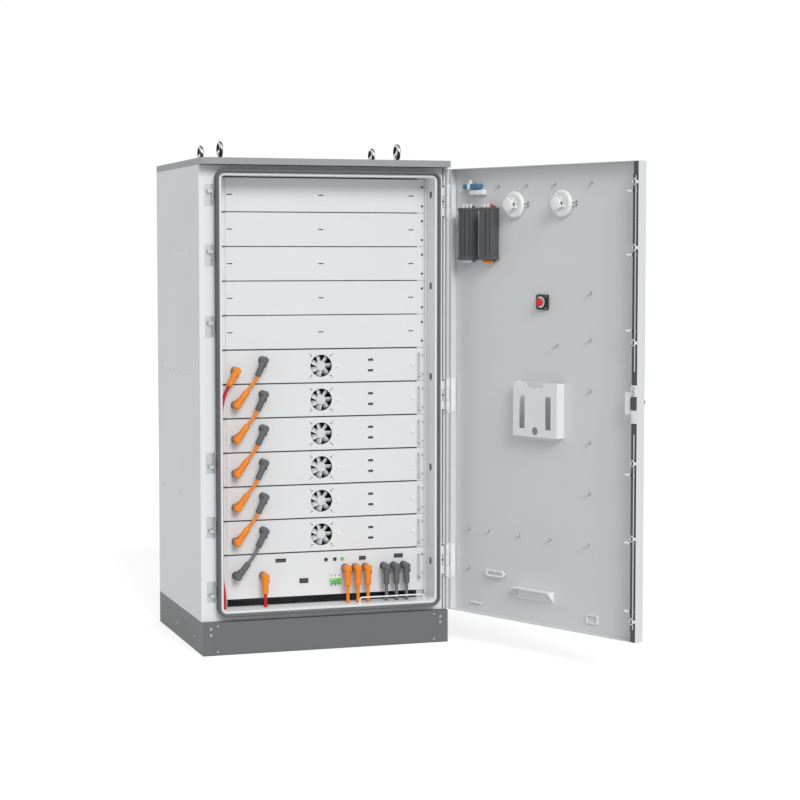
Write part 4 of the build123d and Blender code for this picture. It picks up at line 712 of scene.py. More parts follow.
# ---------------------------------------------------------------- rack
@dataclass
class RackFronts:
    """Fine pieces on the blanks, battery modules and control box."""

    screw_xs: tuple[float, float] = (-422.35, 439.55)
    screw_drops: tuple[float, float] = (33.1, 111.5)
    unit_tops: tuple[float, ...] = tuple(1927.4 - i * 139.58 for i in range(12))
    fan_x: float = 1.7
    fan_half: float = 41.25
    light_x: float = 73.7
    cap_x: float = 399.3
    port_x: float = 214.1
    port_rise: float = 22.0
    ear_left: float = -432.95
    ear_right: float = 450.15
    panel_right: float = 416.15
    blanks: int = 5
    opening: tuple[float, float, float, float] = (-439.0, 460.0, 180.0, 1931.0)
    slot_zs: tuple[float, ...] = (1862.0, 1486.0, 1110.0, 732.0, 338.0)
    button_xs: tuple[float, ...] = (19.6, 57.6, 89.2)
    button_z: float = 356.89

    def screws(self) -> None:
        """Replace the ear and fan screws."""
        draft = Draft()
        for top in self.unit_tops:
            for x in self.screw_xs:
                for drop in self.screw_drops:
                    screw_head(draft, front(x, RACK_FRONT, top - drop), 4.6, 3.3)
        for z in MODULE_ZS:
            for sx in (-1, 1):
                for sz in (-1, 1):
                    for half, radius in ((self.fan_half, 3.0), (self.fan_half + 7.0, 2.1)):
                        screw_head(draft, front(self.fan_x + sx * half, PANEL_FRONT, z + sz * half), radius, 1.2)
        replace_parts(draft.finish("rack_screw_heads", "cabinet", "black_plastic"), "rack_screws")

    def lights(self) -> None:
        """Replace the status lights by lenses in bezels."""
        draft = Draft()
        for z in MODULE_ZS:
            draft.lathe([(7.5, 0.0), (7.5, 2.0), (6.9, 2.8), (6.2, 2.8), (5.9, 2.2), (5.2, 3.2), (3.4, 3.8),
                         (1.0, 4.0)],
                        front(self.light_x, PANEL_FRONT, z), 32)
        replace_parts(draft.finish("status_lenses", "cabinet", "white_plastic"), "module_status_lights")

    def caps(self) -> None:
        """Replace the earth caps by fluted caps."""
        draft = Draft()
        for z in MODULE_ZS:
            draft.lathe([(7.4, 0.0), (7.4, 3.6), (6.6, 4.8), (4.2, 5.0), (3.8, 4.2), (1.0, 4.2)],
                        front(self.cap_x, PANEL_FRONT, z), 32)
        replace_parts(draft.finish("earth_cap_covers", "cabinet", "white_plastic"), "module_earth_caps")

    def ports(self) -> None:
        """Replace the data port blocks by framed sockets and connectors."""
        frames, inner, detail = Draft(), Draft(), Draft()
        for z in MODULE_ZS:
            for rise in (-self.port_rise, self.port_rise):
                seat = front(self.port_x, PANEL_FRONT, z + rise)
                for low, high in (((-12.2, -6.2), (12.2, -5.0)), ((-12.2, 5.0), (12.2, 6.2)),
                                  ((-12.2, -5.0), (-10.8, 5.0)),
                                  ((10.8, -5.0), (12.2, 5.0)), ((-0.5, -5.0), (0.5, -1.5))):
                    frames.slab((*low, 0.0), (*high, 1.2), 0.15, seat, 1)
                inner.slab((-10.8, -5.0, 0.0), (10.8, 5.0, 0.25), 0.0, seat)
                for side in (-1, 1):
                    inner.slab((side * 5.4 - 2.6, -4.8, 0.2), (side * 5.4 + 2.6, -2.6, 0.9), 0.1, seat, 1)
        for x, drop, width, height in ((-174.0, 30.1, 48.0, 14.0), (177.0, 35.1, 33.0, 15.0),
                                       (334.9, 32.1, 43.0, 16.0), (-75.7, 118.5, 42.0, 19.0)):
            seat = front(x, PANEL_FRONT, 391.99 - drop)
            w, h = width / 2, height / 2
            frames.prism(rounded(-w - 4.5, w + 4.5, -h * 0.8, h * 0.8, 1.5, 3), 0.0, 0.9, seat, 0.2)
            for side in (-1, 1):
                place = seat @ Matrix.Translation((side * (w + 1.6), 0.0, 0.0))
                frames.lathe([(3.0, 0.8, 6), (3.0, 3.4, 6), (1.6, 3.5), (1.5, 1.6)], place, 24)
            inner.prism([(-w + 3.0, -h), (w - 3.0, -h), (w - 1.6, h), (-w + 1.6, h)], 0.8, 4.0, seat, 0.6)
            detail.prism([(-w + 8.0, -h * 0.35), (w - 8.0, -h * 0.35), (w - 7.4, h * 0.35), (-w + 7.4, h * 0.35)],
                         3.9, 4.6, seat, 0.2)
        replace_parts(frames.finish("port_frames", "cabinet", "white_plastic"), "data_ports")
        inner.finish("port_sockets", "cabinet", "black_plastic")
        detail.finish("port_pin_fields", "cabinet", "dark_metal")

    def trim(self) -> None:
        """Black strips that paint the shade in the gaps between units, jamb fillers, dark plates that paint the shade
        inside the jamb slots, and button rings.
        """
        gap_shade, fillers, covers_and_slot_shade, rings = Draft(), Draft(), Draft(), Draft()
        # Black strips proud of the panels: painted shade in the gaps between units.
        for i, top in enumerate(self.unit_tops):
            half = 2.0 if i < self.blanks else 2.7
            gap_shade.slab((self.ear_left, PANEL_FRONT - 0.3, top - half),
                      (self.panel_right, PANEL_FRONT + 0.6, top + half), 0.0)
        gap_shade.finish("unit_gap_shade_strips", "cabinet", "black_plastic")
        for x0, x1 in ((self.opening[0] + 0.2, self.ear_left - 0.8), (self.ear_right + 0.8, self.opening[1] - 0.2)):
            fillers.slab((x0, RACK_FRONT - 2.0, self.opening[2]), (x1, RACK_FRONT, self.opening[3]), 0.2, IDENTITY, 1)
        fillers.finish("jamb_fillers", "cabinet", "cabinet_paint")
        # Dark plates on the jamb: painted shade inside its slots.
        for z in self.slot_zs:
            covers_and_slot_shade.slab((self.opening[1] - 0.5, -412.0, z - 12.5), (self.opening[1] + 0.05, -386.0, z + 12.5), 0.1,
                        IDENTITY, 1)
        covers_and_slot_shade.finish("jamb_slot_shade_plates", "cabinet", "dark_metal")
        for x in self.button_xs:
            seat = front(x, PANEL_FRONT - 1.4, self.button_z)
            rings.loft([[seat @ Vector((r * cos(a), r * sin(a), h)) for a in (2 * pi * i / 36 for i in range(36))]
                        for r, h in ((10.6, 0.0), (10.4, 1.0), (9.8, 1.4), (8.3, 1.4), (8.0, 0.9),
                                     (8.0, 0.0))], looped=True)
        rings.finish("button_rings", "cabinet", "white_plastic")

    def build(self) -> None:
        """Make every piece."""
        self.screws()
        self.lights()
        self.caps()
        self.ports()
        self.trim()


# ---------------------------------------------------------------- plugs
@dataclass
class PlugSet:
    """Right-angle battery plugs of one colour."""

    name: str
    slot: str
    node: str
    seats: Sequence[tuple[float, float, float]] = field(default_factory=tuple)
    standoff: float = 45.0
    teeth: int = 12

    def plug(self, body: Draft, dark: Draft, x: float, z: float, angle: float) -> None:
        """Draw one plug.

        Args:
            body: drawing of the coloured parts.
            dark: drawing of the dark parts.
            x: seat X.
            z: seat Z.
            angle: the barrel's direction in degrees, from +X towards +Z.
        """
        turn = Matrix.Translation((x, PANEL_FRONT, z)) @ Matrix.Rotation(radians(-angle), 4, "Y")
        out = turn @ Matrix.Rotation(radians(90), 4, "X")
        along = turn @ Matrix.Translation((0.0, -self.standoff, 0.0)) @ Matrix.Rotation(radians(90), 4, "Y")
        dark.lathe([(15.2, 0.0), (15.4, 0.6), (15.4, 3.8), (14.6, 5.0), (13.2, 5.0)], out, 32)
        dark.lathe([(12.6, 4.0), (12.6, 32.0)], out, 32)
        for i in range(self.teeth):
            tooth = out @ Matrix.Rotation(2 * pi * (i + 0.5) / self.teeth, 4, "Z")
            dark.slab((11.8, -2.2, 5.0), (15.6, 2.2, 19.0), 0.6, tooth, 1)
        body.lathe([(12.9, 13.0), (14.4, 14.0), (14.4, 30.0), (13.2, 31.0)], out, 32)
        body.lathe([(13.0, 29.5, 8), (16.0, 31.5, 8), (16.0, 54.5, 8), (11.6, 59.6, 8), (3.0, 59.9, 8)], out, 32)
        body.lathe([(6.2, 59.0), (6.2, 59.95), (5.2, 59.95), (5.0, 59.4), (1.0, 59.4)], out, 24)
        body.lathe([(14.0, 6.0, 8), (14.8, 9.0, 8), (14.8, 26.5, 8), (13.6, 28.0, 8)], along, 32)
        body.lathe([(11.4, 26.0), (12.6, 28.0), (12.6, 33.0), (11.6, 33.8), (11.6, 35.8), (12.7, 36.6), (12.7, 55.0),
                    (12.1, 55.8), (12.1, 57.4), (12.7, 58.2), (12.7, 68.6), (11.4, 70.6), (7.6, 70.9)], along, 32)
        for i in range(8):
            rib = along @ Matrix.Rotation(2 * pi * i / 8, 4, "Z")
            body.slab((11.6, -1.1, 38.5), (12.8, 1.1, 53.5), 0.35, rib, 1)
        dark.lathe([(8.6, 68.0), (8.6, 70.95), (7.1, 70.99)], along, 24)
        body.slab((-4.2, 15.0, 12.0), (4.2, 16.6, 24.0), 0.5, along @ Matrix.Rotation(radians(90), 4, "Z"), 1)

    def build(self) -> None:
        """Draw every plug of this colour."""
        body, dark = Draft(), Draft()
        for x, z, angle in self.seats:
            self.plug(body, dark, x, z, angle)
        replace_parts(body.finish(f"{self.name}_shells", "cabinet", self.slot), self.node)
        dark.finish(f"{self.name}_bases", "cabinet",
                    "grey_plastic" if self.slot == "orange_plastic" else "black_plastic")


def plug_sets() -> tuple[PlugSet, PlugSet]:
    """Seats of every plug, by colour.

    Returns:
        The orange and the grey set.
    """
    outlets = [101.0 + 43.7 * i for i in range(3)], [269.0 + 43.7 * i for i in range(3)]
    box_z, outlet_z = 300.59, 319.99
    orange = [(-364.5, MODULE_ZS[0] - 12.5, 241.0)] + [(-364.5, z - 12.5, 53.2) for z in MODULE_ZS[1:]]
    orange += [(-250.0, box_z + 3.4, 270.0)] + [(x, outlet_z, 270.0) for x in outlets[0]]
    grey = [(-249.0, z + 28.5, 244.0) for z in MODULE_ZS] + [(-364.5, box_z + 8.6, 50.9)]
    grey += [(x, outlet_z, 270.0) for x in outlets[1]]
    return (PlugSet("orange_plug", "orange_plastic", "orange_plugs", orange),
            PlugSet("grey_plug", "grey_plastic", "grey_plugs", grey))


# ---------------------------------------------------------------- control box
@dataclass
class Breaker:
    """Terminals and pole lines of the circuit breaker, and its toggles."""

    left: float = 34.0
    pole: float = 17.0
    poles: int = 3
    centre: float = 269.0
    nose: float = 47.0

    def build(self) -> None:
        """Draw the terminal screws and the pole lines."""
        screws, lines = Draft(), Draft()
        face = PANEL_FRONT - 4.0
        for i in range(self.poles):
            x = self.left + (i + 0.5) * self.pole
            for side in (-1, 1):
                screws.lathe([(3.2, 0.0), (3.2, 0.5), (2.6, 0.7), (1.6, 0.7, 6), (1.5, 0.2, 6)],
                             front(x, face, self.centre + side * 18.5), 24)
            lines.slab((x - 3.2, face - 0.3, self.centre - 12.6), (x + 3.2, face + 0.1, self.centre - 10.4), 0.0)
        for i in range(1, self.poles):
            x = self.left + i * self.pole
            lines.slab((x - 0.35, face - 0.12, self.centre - self.nose / 2 + 0.6),
                       (x + 0.35, face + 0.2, self.centre + self.nose / 2 - 0.6), 0.0)
        screws.finish("breaker_terminals", "cabinet", "grey_plastic")
        lines.finish("breaker_pole_lines", "cabinet", "grey_plastic")


# ---------------------------------------------------------------- door fittings
@dataclass
class Gateways:
    """Radio gateway boxes: ribbed bodies, end plates and connectors."""

    starts: tuple[float, float] = (65.0, 187.0)
    width: float = 71.0
    depth: float = 50.0
    height: float = 212.0
    bottom: float = 1594.0

    def body(self, draft: Draft, dark: Draft, start: float) -> None:
        """Draw one ribbed body with its end plates.

        Args:
            draft: the drawing.
            dark: drawing of a dark joint and of a dark line that paints the shade of the case's corner.
            start: distance of its near side from the door's hinge edge.
        """
        xa, xb, y, top = door_x(start + self.width), door_x(start), DOOR_SKIN, self.bottom + self.height
        draft.slab((xa + 1.5, y, self.bottom + 3), (xb - 1.5, y + self.depth - 1.5, top - 3), 3.0)
        for share in (0.2, 0.5, 0.86):
            x = xa + share * self.width
            draft.slab((x - 1.3, y + self.depth - 2.5, self.bottom + 3), (x + 1.3, y + self.depth - 0.4, top - 3), 0.4,
                       IDENTITY, 1)
        # Dark lines down the front: a joint, and by the free-edge corner a line of painted shade for the case's side
        # face.
        for x in (xa + 5.0, xa + self.width * 0.42):
            dark.slab((x - 1.3, y + self.depth - 3.0, self.bottom + 10), (x + 1.3, y + self.depth - 0.2, top - 10), 0.0)
        for z in (self.bottom, top - 12):
            draft.slab((xa, y, z), (xb, y + self.depth, z + 12), 1.2)
            for x in (xa + 7, xa + self.width * 0.5, xb - 7):
                screw_head(draft, inward(x, y + self.depth - 0.1, z + 6), 2.6, 0.9)
        for z in (self.bottom - 8.0, top):
            draft.slab((xa + 22, y, z), (xb - 22, y + 2.5, z + 8), 0.5)

    def connectors(self, white: Draft, brass: Draft, orange: Draft) -> None:
        """Draw the aerial sockets on top and the connectors below.

        Args:
            white: drawing of the plated sockets.
            brass: drawing of the brown socket.
            orange: drawing of the orange terminal block.
        """
        top = self.bottom + self.height
        for k, start in enumerate(self.starts):
            xa, xb = door_x(start + self.width), door_x(start)
            for j, share in enumerate((0.2, 0.5, 0.8)):
                draft = brass if (k, j) == (1, 0) else white
                seat = upright(xa + share * self.width, DOOR_SKIN + self.depth * 0.6, top)
                draft.lathe([(5.0, 0.0, 6), (5.0, 3.0, 6), (3.4, 3.2), (3.4, 5.0), (4.8, 5.4), (4.8, 11.0), (3.2, 12.0),
                             (3.2, 15.2), (2.6, 16.0), (1.6, 16.0), (1.6, 13.0)], seat, 24)
            draft = orange if k else white
            draft.slab((xa + 12, DOOR_SKIN + 20, self.bottom - 10), (xb - 12, DOOR_SKIN + 38, self.bottom), 1.2)
            for x in (xa + 17, xb - 17):
                screw_head(draft, inward(x, DOOR_SKIN + 38, self.bottom - 5), 2.6, 1.2)
            draft.slab((xa + 21, DOOR_SKIN + 23, self.bottom - 12), (xb - 21, DOOR_SKIN + 35, self.bottom - 9), 0.5,
                       IDENTITY, 1)

    def build(self) -> None:
        """Make every piece."""
        body, dark, white, brass, orange = (Draft() for _ in range(5))
        for start in self.starts:
            self.body(body, dark, start)
        self.connectors(white, brass, orange)
        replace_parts(body.finish("gateway_cases", "door", "device_grey", door=True), "gateway_boxes")
        dark.finish("gateway_joints_and_corner_shade", "door", "black_plastic", door=True)
        white.finish("gateway_sockets", "door", "white_plastic", door=True)
        brass.finish("gateway_brown_socket", "door", "red_plastic", door=True)
        orange.finish("gateway_terminal_block", "door", "orange_plastic", door=True)


@dataclass
class SmokeDetectors:
    """Smoke detectors: a dished base, three fins, a sensing cap and two prongs."""

    distances: tuple[float, float] = (351.0, 615.0)
    height: float = 1815.0

    def build(self) -> None:
        """Make both detectors and their dark sensing chambers."""
        shell, dark = Draft(), Draft()
        for distance in self.distances:
            seat = inward(door_x(distance), DOOR_SKIN, self.height)
            shell.lathe([(51.0, 0.0), (54.5, 5.0), (54.5, 11.0), (53.0, 14.0), (48.0, 17.0), (44.0, 17.6), (40.0, 16.4),
                         (20.0, 14.0), (12.0, 14.0)], seat, 56)
            dark.lathe([(7.4, 13.6), (7.4, 15.0), (6.4, 15.4)], seat, 24)
            for i in range(3):
                fin = seat @ Matrix.Rotation(2 * pi * i / 3 + 0.5, 4, "Z")
                shell.slab((9.0, -1.5, 13.0), (26.0, 1.5, 43.5), 0.6, fin, 1)
                dark.slab((13.0, -2.1, 23.0), (23.0, 2.1, 27.0), 0.2, fin, 1)
            shell.lathe([(24.5, 42.0), (27.0, 43.2), (27.0, 46.4), (25.4, 49.4), (20.0, 50.8), (6.0, 51.0)], seat, 48)
            for side in (-1, 1):
                shell.slab((-71.0, side * 6.5 - 2.6, 2.0), (-50.0, side * 6.5 + 2.6, 7.2), 0.8, seat, 1)
                dark.slab((-76.0, side * 6.5 - 2.2, 2.4), (-70.6, side * 6.5 + 2.2, 6.8), 0.5, seat, 1)
        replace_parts(shell.finish("smoke_detector_shells", "door", "white_plastic", door=True), "smoke_detectors")
        dark.finish("smoke_detector_chambers", "door", "black_plastic", door=True)


@dataclass
class StopButton:
    """Emergency stop: mushroom head, collar ring and plate screws."""

    distance: float = 509.0
    height: float = 1427.0

    def build(self) -> None:
        """Make the head, which moves with the button, and the fixed ring and plate trim."""
        seat = inward(door_x(self.distance), DOOR_SKIN, self.height)
        head, ring, trim = Draft(), Draft(), Draft()
        head.lathe([(9.0, 5.6), (9.0, 21.6), (14.2, 21.7), (16.2, 23.2), (16.75, 25.4), (16.2, 27.6), (14.4, 29.2),
                    (10.8, 30.2), (9.6, 29.9), (2.0, 30.1)], seat, 40)
        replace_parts(head.finish("stop_mushroom_head", "stop_button", "red_plastic", door=True), "emergency_stop_button")
        ring.loft([[seat @ Vector((r * cos(a), r * sin(a), h)) for a in (2 * pi * i / 40 for i in range(40))]
                   for r, h in ((23.0, 12.0), (23.0, 16.4), (22.0, 17.2), (14.0, 17.2), (11.0, 16.4),
                                (11.0, 12.0))], looped=True)
        ring.finish("stop_collar_ring", "door", "white_plastic", door=True)
        for sx in (-1, 1):
            for sz in (-1, 1):
                screw_head(trim, seat @ Matrix.Translation((sx * 24.0, sz * 24.0, 12.0)), 2.6, 1.0)
        trim.finish("stop_plate_screws", "door", "zinc_steel", door=True)


@dataclass
class DoorSwitch:
    """Door position switch: blue body, white knob and white carrier."""

    start: float = 69.0
    length: float = 92.0
    height: float = 1893.0

    def build(self) -> None:
        """Make the body, knob and carrier."""
        x0, x1, y = door_x(self.start + self.length), door_x(self.start), DOOR_SKIN
        blue, white = Draft(), Draft()
        h = self.height
        blue.loft([[Vector((x, y + a, h + b)) for a,
                    b in ((0, -s), (24, -s), (26, -s + 2), (26, s - 2), (24, s), (0, s))]
                   for x, s in ((x0, 7.0), (x0 + 8, 11.0), (x1 - 8, 11.0), (x1, 7.0))])
        for x in (x0 + 18, x1 - 18):
            screw_head(blue, inward(x, y + 25.9, h), 4.0, 1.2)
        white.lathe([(9.0, 0.0), (9.0, 9.0), (8.0, 10.0), (6.2, 10.0), (6.2, 15.0), (5.2, 16.0)],
                    upright(x1 - 34, y + 13, h + 11), 24)
        white.slab((x1 - 42, y + 2, h - 11.4), (x1 - 26, y + 27.2, h + 11.4), 1.0)
        white.slab((x0 - 26, y, h - 34), (x1 - 34, y + 22, h - 14), 2.0)
        for i in range(3):
            white.slab((x0 - 22, y + 21.5, h - 31 + i * 5.5), (x1 - 38, y + 22.4, h - 29 + i * 5.5), 0.3, IDENTITY, 1)
        white.slab((x0 - 10, y, h - 20), (x1 - 40, y + 3, h - 8), 0.5)
        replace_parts(blue.finish("door_switch_body", "door", "blue_plastic", door=True), "door_switch")
        white.finish("door_switch_carrier", "door", "white_plastic", door=True)


@dataclass
class DoorEdge:
    """Lock channel on the door's free edge: strip, rod ribs, rivets, roller sleeves, clips and covers."""

    left: float = -522.5
    lip: float = 25.0
    lip_y: float = -426.5
    bottom: float = 136.6
    top: float = 1967.2
    rod_left: float = -519.5
    rod_right: float = -499.5
    rod_front: float = -421.0
    roller_x: float = -481.5
    roller_y: float = -420.0
    lock: float = 1052.0
    guides: tuple[float, ...] = (1888.0, 1641.0, 1282.0, 824.0, 536.0, 219.0)
    rollers_high: tuple[float, ...] = (1853.0, 1613.0, 1327.0)
    rollers_low: tuple[float, ...] = (779.0, 519.0, 256.0)
    rib: Flat = (-7.5, -2.0)
    rivet: float = -7.0
    clip_inset: float = 7.5
    cover_spans: tuple[Flat, ...] = ((976.0, 1026.0), (1078.0, 1121.0))

    def clip(self, white: Draft, dark: Draft, z: float) -> None:
        """Draw one C-shaped guide clip with its dark pad.

        Args:
            white: drawing of the clips.
            dark: drawing of the pads.
            z: the clip's height.
        """
        centre_x, y = self.left + self.lip - self.clip_inset, self.lip_y + 7.0
        arc = [radians(90 + 180 * i / 16) for i in range(17)]
        white.loft([[Vector((centre_x + r * cos(a), y + h, z + r * sin(a)))
                     for r, h in ((9.2, 0.0), (13.5, 0.0), (13.5, 1.8), (12.9, 2.4), (9.8, 2.4),
                                  (9.2, 1.8))] for a in arc])
        half = [(9.2 * cos(a), 9.2 * sin(a)) for a in arc]
        dark.prism(half, 0.0, 0.8, inward(centre_x, y, z))

    def cover(self, draft: Draft, low: float, high: float, wall: float = 1.2) -> None:
        """Draw a channel over a rod.

        Args:
            draft: the drawing.
            low: bottom of the channel.
            high: top of the channel.
            wall: sheet thickness.
        """
        x0, x1, gap = self.rod_left, self.rod_right, 0.3
        for a, b in ((x0 - gap - wall, x0 - gap), (x1 + gap, x1 + gap + wall)):
            draft.slab((a, self.lip_y, low), (b, self.rod_front + gap + wall, high), 0.0)
        draft.slab((x0 - gap - wall, self.rod_front + gap, low), (x1 + gap + wall, self.rod_front + gap + wall, high),
                   0.3)

    def build(self) -> None:
        """Make every piece."""
        strip, clips, pads, covers_and_slot_shade, case, marks = (Draft() for _ in range(6))
        strip.slab((self.left + 0.6, self.lip_y - 0.02, self.bottom + 2),
                   (self.left + self.lip - 0.4, self.lip_y + 0.07, self.top - 2), 0.0)
        strip.finish("lock_channel_strip", "door", "dark_metal", door=True)
        middle = (self.rod_left + self.rod_right) / 2
        for name, low, high, levels in (("upper", 1172.0, 1912.0, self.rollers_high),
                                        ("lower", 188.0, 934.0, self.rollers_low)):
            rib, rivets, rollers = Draft(), Draft(), Draft()
            for z in levels:
                axle = outward(1, 0.0, self.roller_y, z)
                rollers.lathe([(5.1, self.roller_x - 8.3), (5.7, self.roller_x - 7.7), (5.7, self.roller_x + 7.7),
                               (5.1, self.roller_x + 8.3)], axle, 24)
                rollers.lathe([(2.8, self.rod_right + 3.2), (2.8, self.roller_x - 8.0)], axle, 16)
                rollers.slab((self.rod_right - 0.8, self.lip_y + 0.4, z - 6.2),
                             (self.rod_right + 3.2, self.roller_y + 2.7, z + 6.2), 0.3, IDENTITY, 1)
            rollers.finish(f"{name}_rod_rollers", f"{name}_rod", "white_metal", door=True)
            rib.slab((middle + self.rib[0], self.rod_front - 0.1, low),
                     (middle + self.rib[1], self.rod_front + 0.2, high), 0.0)
            rib.finish(f"{name}_rod_rib", f"{name}_rod", "zinc_steel", door=True)
            for z in levels:
                rivets.lathe([(2.6, -0.2), (2.6, 0.4), (2.0, 1.0), (0.6, 1.2)],
                             inward(middle + self.rivet, self.rod_front, z), 20)
            rivets.finish(f"{name}_rod_rivets", f"{name}_rod", "white_metal", door=True)
        for z in self.guides:
            self.clip(clips, pads, z)
        clips.finish("rod_guide_clips", "door", "white_plastic", door=True)
        pads.finish("rod_guide_pads", "door", "black_plastic", door=True)
        for low, high in self.cover_spans:
            self.cover(covers_and_slot_shade, low, high)
        covers_and_slot_shade.finish("rod_covers", "door", "white_plastic", door=True)
        for i in range(4):
            place = inward(middle, self.rod_front + 1.45,
                           1112.0 - 9.0 * i) @ Matrix.Rotation(radians(35 if i % 2 else -35), 4, "Z")
            marks.slab((-6.5, -1.4, 0.0), (6.5, 1.4, 0.3), 0.0, place)
        marks.finish("rod_cover_slots", "door", "black_plastic", door=True)
        half = 22.8
        case.slab((self.left + 1.2, self.lip_y + 0.4, self.lock - half),
                  (self.left + self.lip + 0.3, self.lip_y + 9.5, self.lock + half), 0.8)
        case.finish("lock_case_cover", "door", "dark_metal", door=True)


@dataclass
class HingeSide:
    """Seam line, pin dots and rolled edge on the hinge side, and the seam over the plinth."""

    seam: tuple[float, float] = (505.8, 510.6)
    body_front: float = -412.5
    leaf: float = 3.0
    levels: tuple[float, ...] = (1834.0, 1033.0, 342.0)
    half: float = 69.0
    bottom: float = 137.0
    top: float = 1971.5
    roll: float = 6.2
    dot_x: float = 507.8

    def build(self) -> None:
        """Make every piece."""
        seams, dots, roll = Draft(), Draft(), Draft()
        stops = [self.bottom, *(z + side * self.half for z in sorted(self.levels) for side in (-1, 1)), self.top]
        for low, high in zip(stops[::2], stops[1::2]):
            seams.slab((self.seam[0], self.body_front - 0.35, low), (self.seam[1], self.body_front + 0.1, high), 0.0)
            roll.lathe([(self.roll - 1, low + 1), (self.roll, low + 2), (self.roll, high - 2),
                        (self.roll - 1, high - 1)],
                       upright(HINGE_PIN.x, HINGE_PIN.y, 0.0), 24)
        for z in self.levels:
            seams.slab((self.seam[0] + 0.8, self.body_front - self.leaf - 0.3, z - 26),
                       (self.seam[1] - 0.8, self.body_front - self.leaf + 0.1, z + 26), 0.0)
            for rise in (-63.0, 0.0, 63.0):
                dots.lathe([(4.3, 0.0), (4.3, 0.5), (3.4, 1.0), (1.0, 1.0)],
                           front(self.dot_x, self.body_front - self.leaf, z + rise), 20)
        seams.slab((-521.0, -440.4, 134.9), (521.0, self.body_front - 0.2, 135.6), 0.0)
        seams.finish("body_seams", "cabinet", "seal_rubber")
        dots.finish("hinge_screw_dots", "cabinet", "black_plastic")
        roll.finish("door_rolled_edge", "door", "door_paint", door=True)


@dataclass
class DoorStuds:
    """Domed nuts on the door's earth and fixing studs."""

    columns: tuple[float, ...] = (255.0, 414.0, 571.0, 767.0)
    column_z: float = 1891.0
    low_row: tuple[float, ...] = (89.0, 204.0, 381.0, 555.0, 762.0)
    low_z: float = 481.0
    edge_row: tuple[float, ...] = (1466.0, 1285.0, 1084.0, 883.0, 682.0)
    edge_column: float = 767.0
    single: tuple[Flat, ...] = ((586.0, 1257.0), (89.0, 317.0))

    def build(self) -> None:
        """Draw a collar and a domed cap over every stud."""
        draft = Draft()
        studs = [(c, self.column_z) for c in self.columns] + [(c, self.low_z) for c in self.low_row]
        studs += [(self.edge_column, z) for z in self.edge_row] + list(self.single)
        for distance, z in studs:
            draft.lathe([(6.2, 0.0), (6.2, 1.0), (4.9, 1.4), (4.9, 12.0), (4.3, 14.4), (2.6, 15.9), (0.8, 16.3)],
                        inward(door_x(distance), DOOR_SKIN, z), 20)
        draft.finish("door_stud_caps", "door", "zinc_steel", door=True)


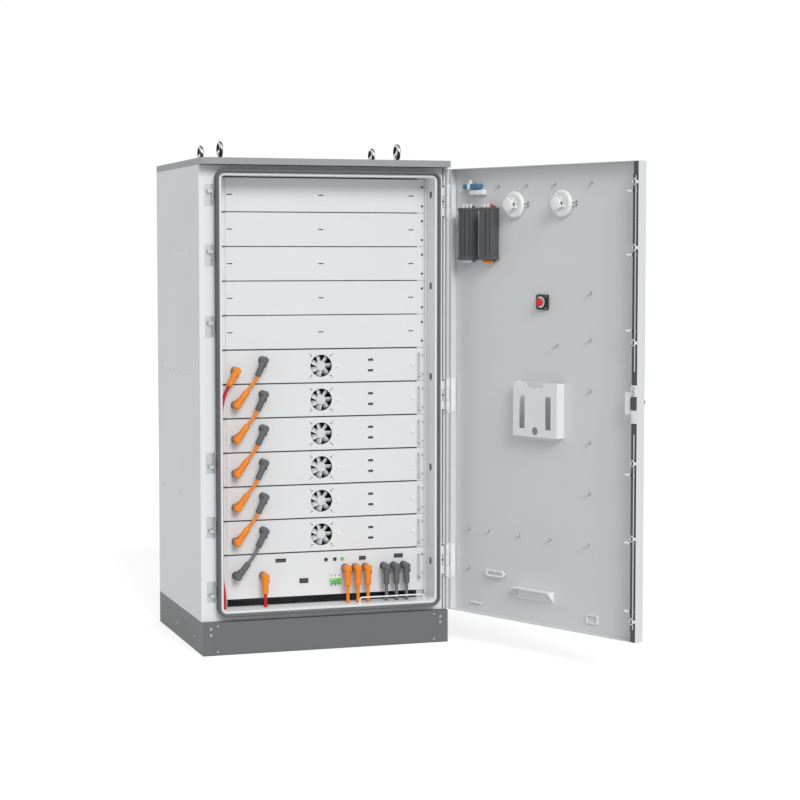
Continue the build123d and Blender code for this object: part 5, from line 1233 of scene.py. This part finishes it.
# ---------------------------------------------------------------- studio
@dataclass(frozen=True)
class Studio:
    """Pale floor, white surroundings, soft light and the camera."""

    floor_half: float = 14.0
    floor_tone: float = 0.6
    floor_lift: float = 0.6
    ambient: float = 0.575
    key_energy: float = 1.75
    key_spread: float = 26.0
    key_from: Point = (0.02, -0.85, 0.52)
    camera_at: Point = (-2.337, -8.4566, 1.6029)
    camera_yaw: float = 18.288
    camera_pitch: float = 3.963
    lens: float = 92.435
    sensor: float = 36.0

    @staticmethod
    def seen(tree: bpy.types.NodeTree) -> bpy.types.NodeSocket:
        """Mask of rays that show the background.

        Args:
            tree: the node tree.

        Returns:
            1 for camera, glossy and transmission rays.
        """
        path = tree.nodes.new("ShaderNodeLightPath")
        total = path.outputs["Is Camera Ray"]
        for label in ("Is Glossy Ray", "Is Transmission Ray"):
            add = tree.nodes.new("ShaderNodeMath")
            add.operation = "MAXIMUM"
            tree.links.new(total, add.inputs[0])
            tree.links.new(path.outputs[label], add.inputs[1])
            total = add.outputs[0]
        return total

    def world(self) -> None:
        """White where it is seen, plain ambient light elsewhere."""
        world = bpy.data.worlds.new("studio")
        world.use_nodes = True
        tree = world.node_tree
        back = tree.nodes["Background"]
        back.inputs["Color"].default_value = (1, 1, 1, 1)
        level = tree.nodes.new("ShaderNodeMapRange")
        level.inputs["To Min"].default_value = self.ambient
        level.inputs["To Max"].default_value = 1.0
        tree.links.new(self.seen(tree), level.inputs["Value"])
        tree.links.new(level.outputs[0], back.inputs["Strength"])
        bpy.context.scene.world = world

    def floor(self) -> None:
        """Pale floor that keeps the cabinet's shadow."""
        draft = bmesh.new()
        h = self.floor_half
        draft.faces.new([draft.verts.new(p) for p in ((-h, -h, 0), (h, -h, 0), (h, h, 0), (-h, h, 0))])
        data = bpy.data.meshes.new("studio_floor")
        draft.to_mesh(data)
        draft.free()
        floor = bpy.data.objects.new("studio_floor", data)
        bpy.context.scene.collection.objects.link(floor)
        paint = bpy.data.materials.new("studio_floor")
        paint.use_nodes = True
        tree = paint.node_tree
        shader = tree.nodes["Principled BSDF"]
        shader.inputs["Base Color"].default_value = (self.floor_tone,) * 3 + (1.0,)
        shader.inputs["Roughness"].default_value = 1.0
        shader.inputs["Specular IOR Level"].default_value = 0.0
        shader.inputs["Emission Color"].default_value = (1, 1, 1, 1)
        lift = tree.nodes.new("ShaderNodeMath")
        lift.operation = "MULTIPLY"
        lift.inputs[1].default_value = self.floor_lift
        tree.links.new(self.seen(tree), lift.inputs[0])
        tree.links.new(lift.outputs[0], shader.inputs["Emission Strength"])
        data.materials.append(paint)

    def light(self) -> None:
        """One soft key lamp."""
        lamp = bpy.data.lights.new("key", "SUN")
        lamp.energy, lamp.angle = self.key_energy, radians(self.key_spread)
        key = bpy.data.objects.new("key", lamp)
        key.rotation_euler = Vector(self.key_from).to_track_quat("Z", "Y").to_euler()
        bpy.context.scene.collection.objects.link(key)

    def camera(self) -> None:
        """Camera at the viewing angle."""
        lens = bpy.data.cameras.new("camera")
        lens.lens, lens.sensor_width, lens.clip_end = self.lens, self.sensor, 100.0
        camera = bpy.data.objects.new("camera", lens)
        camera.location = self.camera_at
        camera.rotation_euler = (radians(90.0 - self.camera_pitch), 0.0, radians(-self.camera_yaw))
        bpy.context.scene.collection.objects.link(camera)
        bpy.context.scene.camera = camera

    def build(self) -> None:
        """Set up the studio."""
        bpy.context.scene.view_settings.view_transform = "Standard"
        self.world()
        self.floor()
        self.light()
        self.camera()
        log.info("studio")


def main() -> None:
    """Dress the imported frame, add the fine pieces and set up the studio."""
    logging.basicConfig(level=logging.INFO, format="%(name)s: %(message)s")
    for slot, edge, nodes in NODE_DRESS:
        for node in nodes:
            Dress(node, slot, edge).apply()
    for piece in (Casing(), RackFronts(), *plug_sets(), Breaker(), Gateways(), SmokeDetectors(), StopButton(),
                  DoorSwitch(), DoorEdge(), HingeSide(), DoorStuds(), Studio()):
        piece.build()


if __name__ == "__main__":
    main()
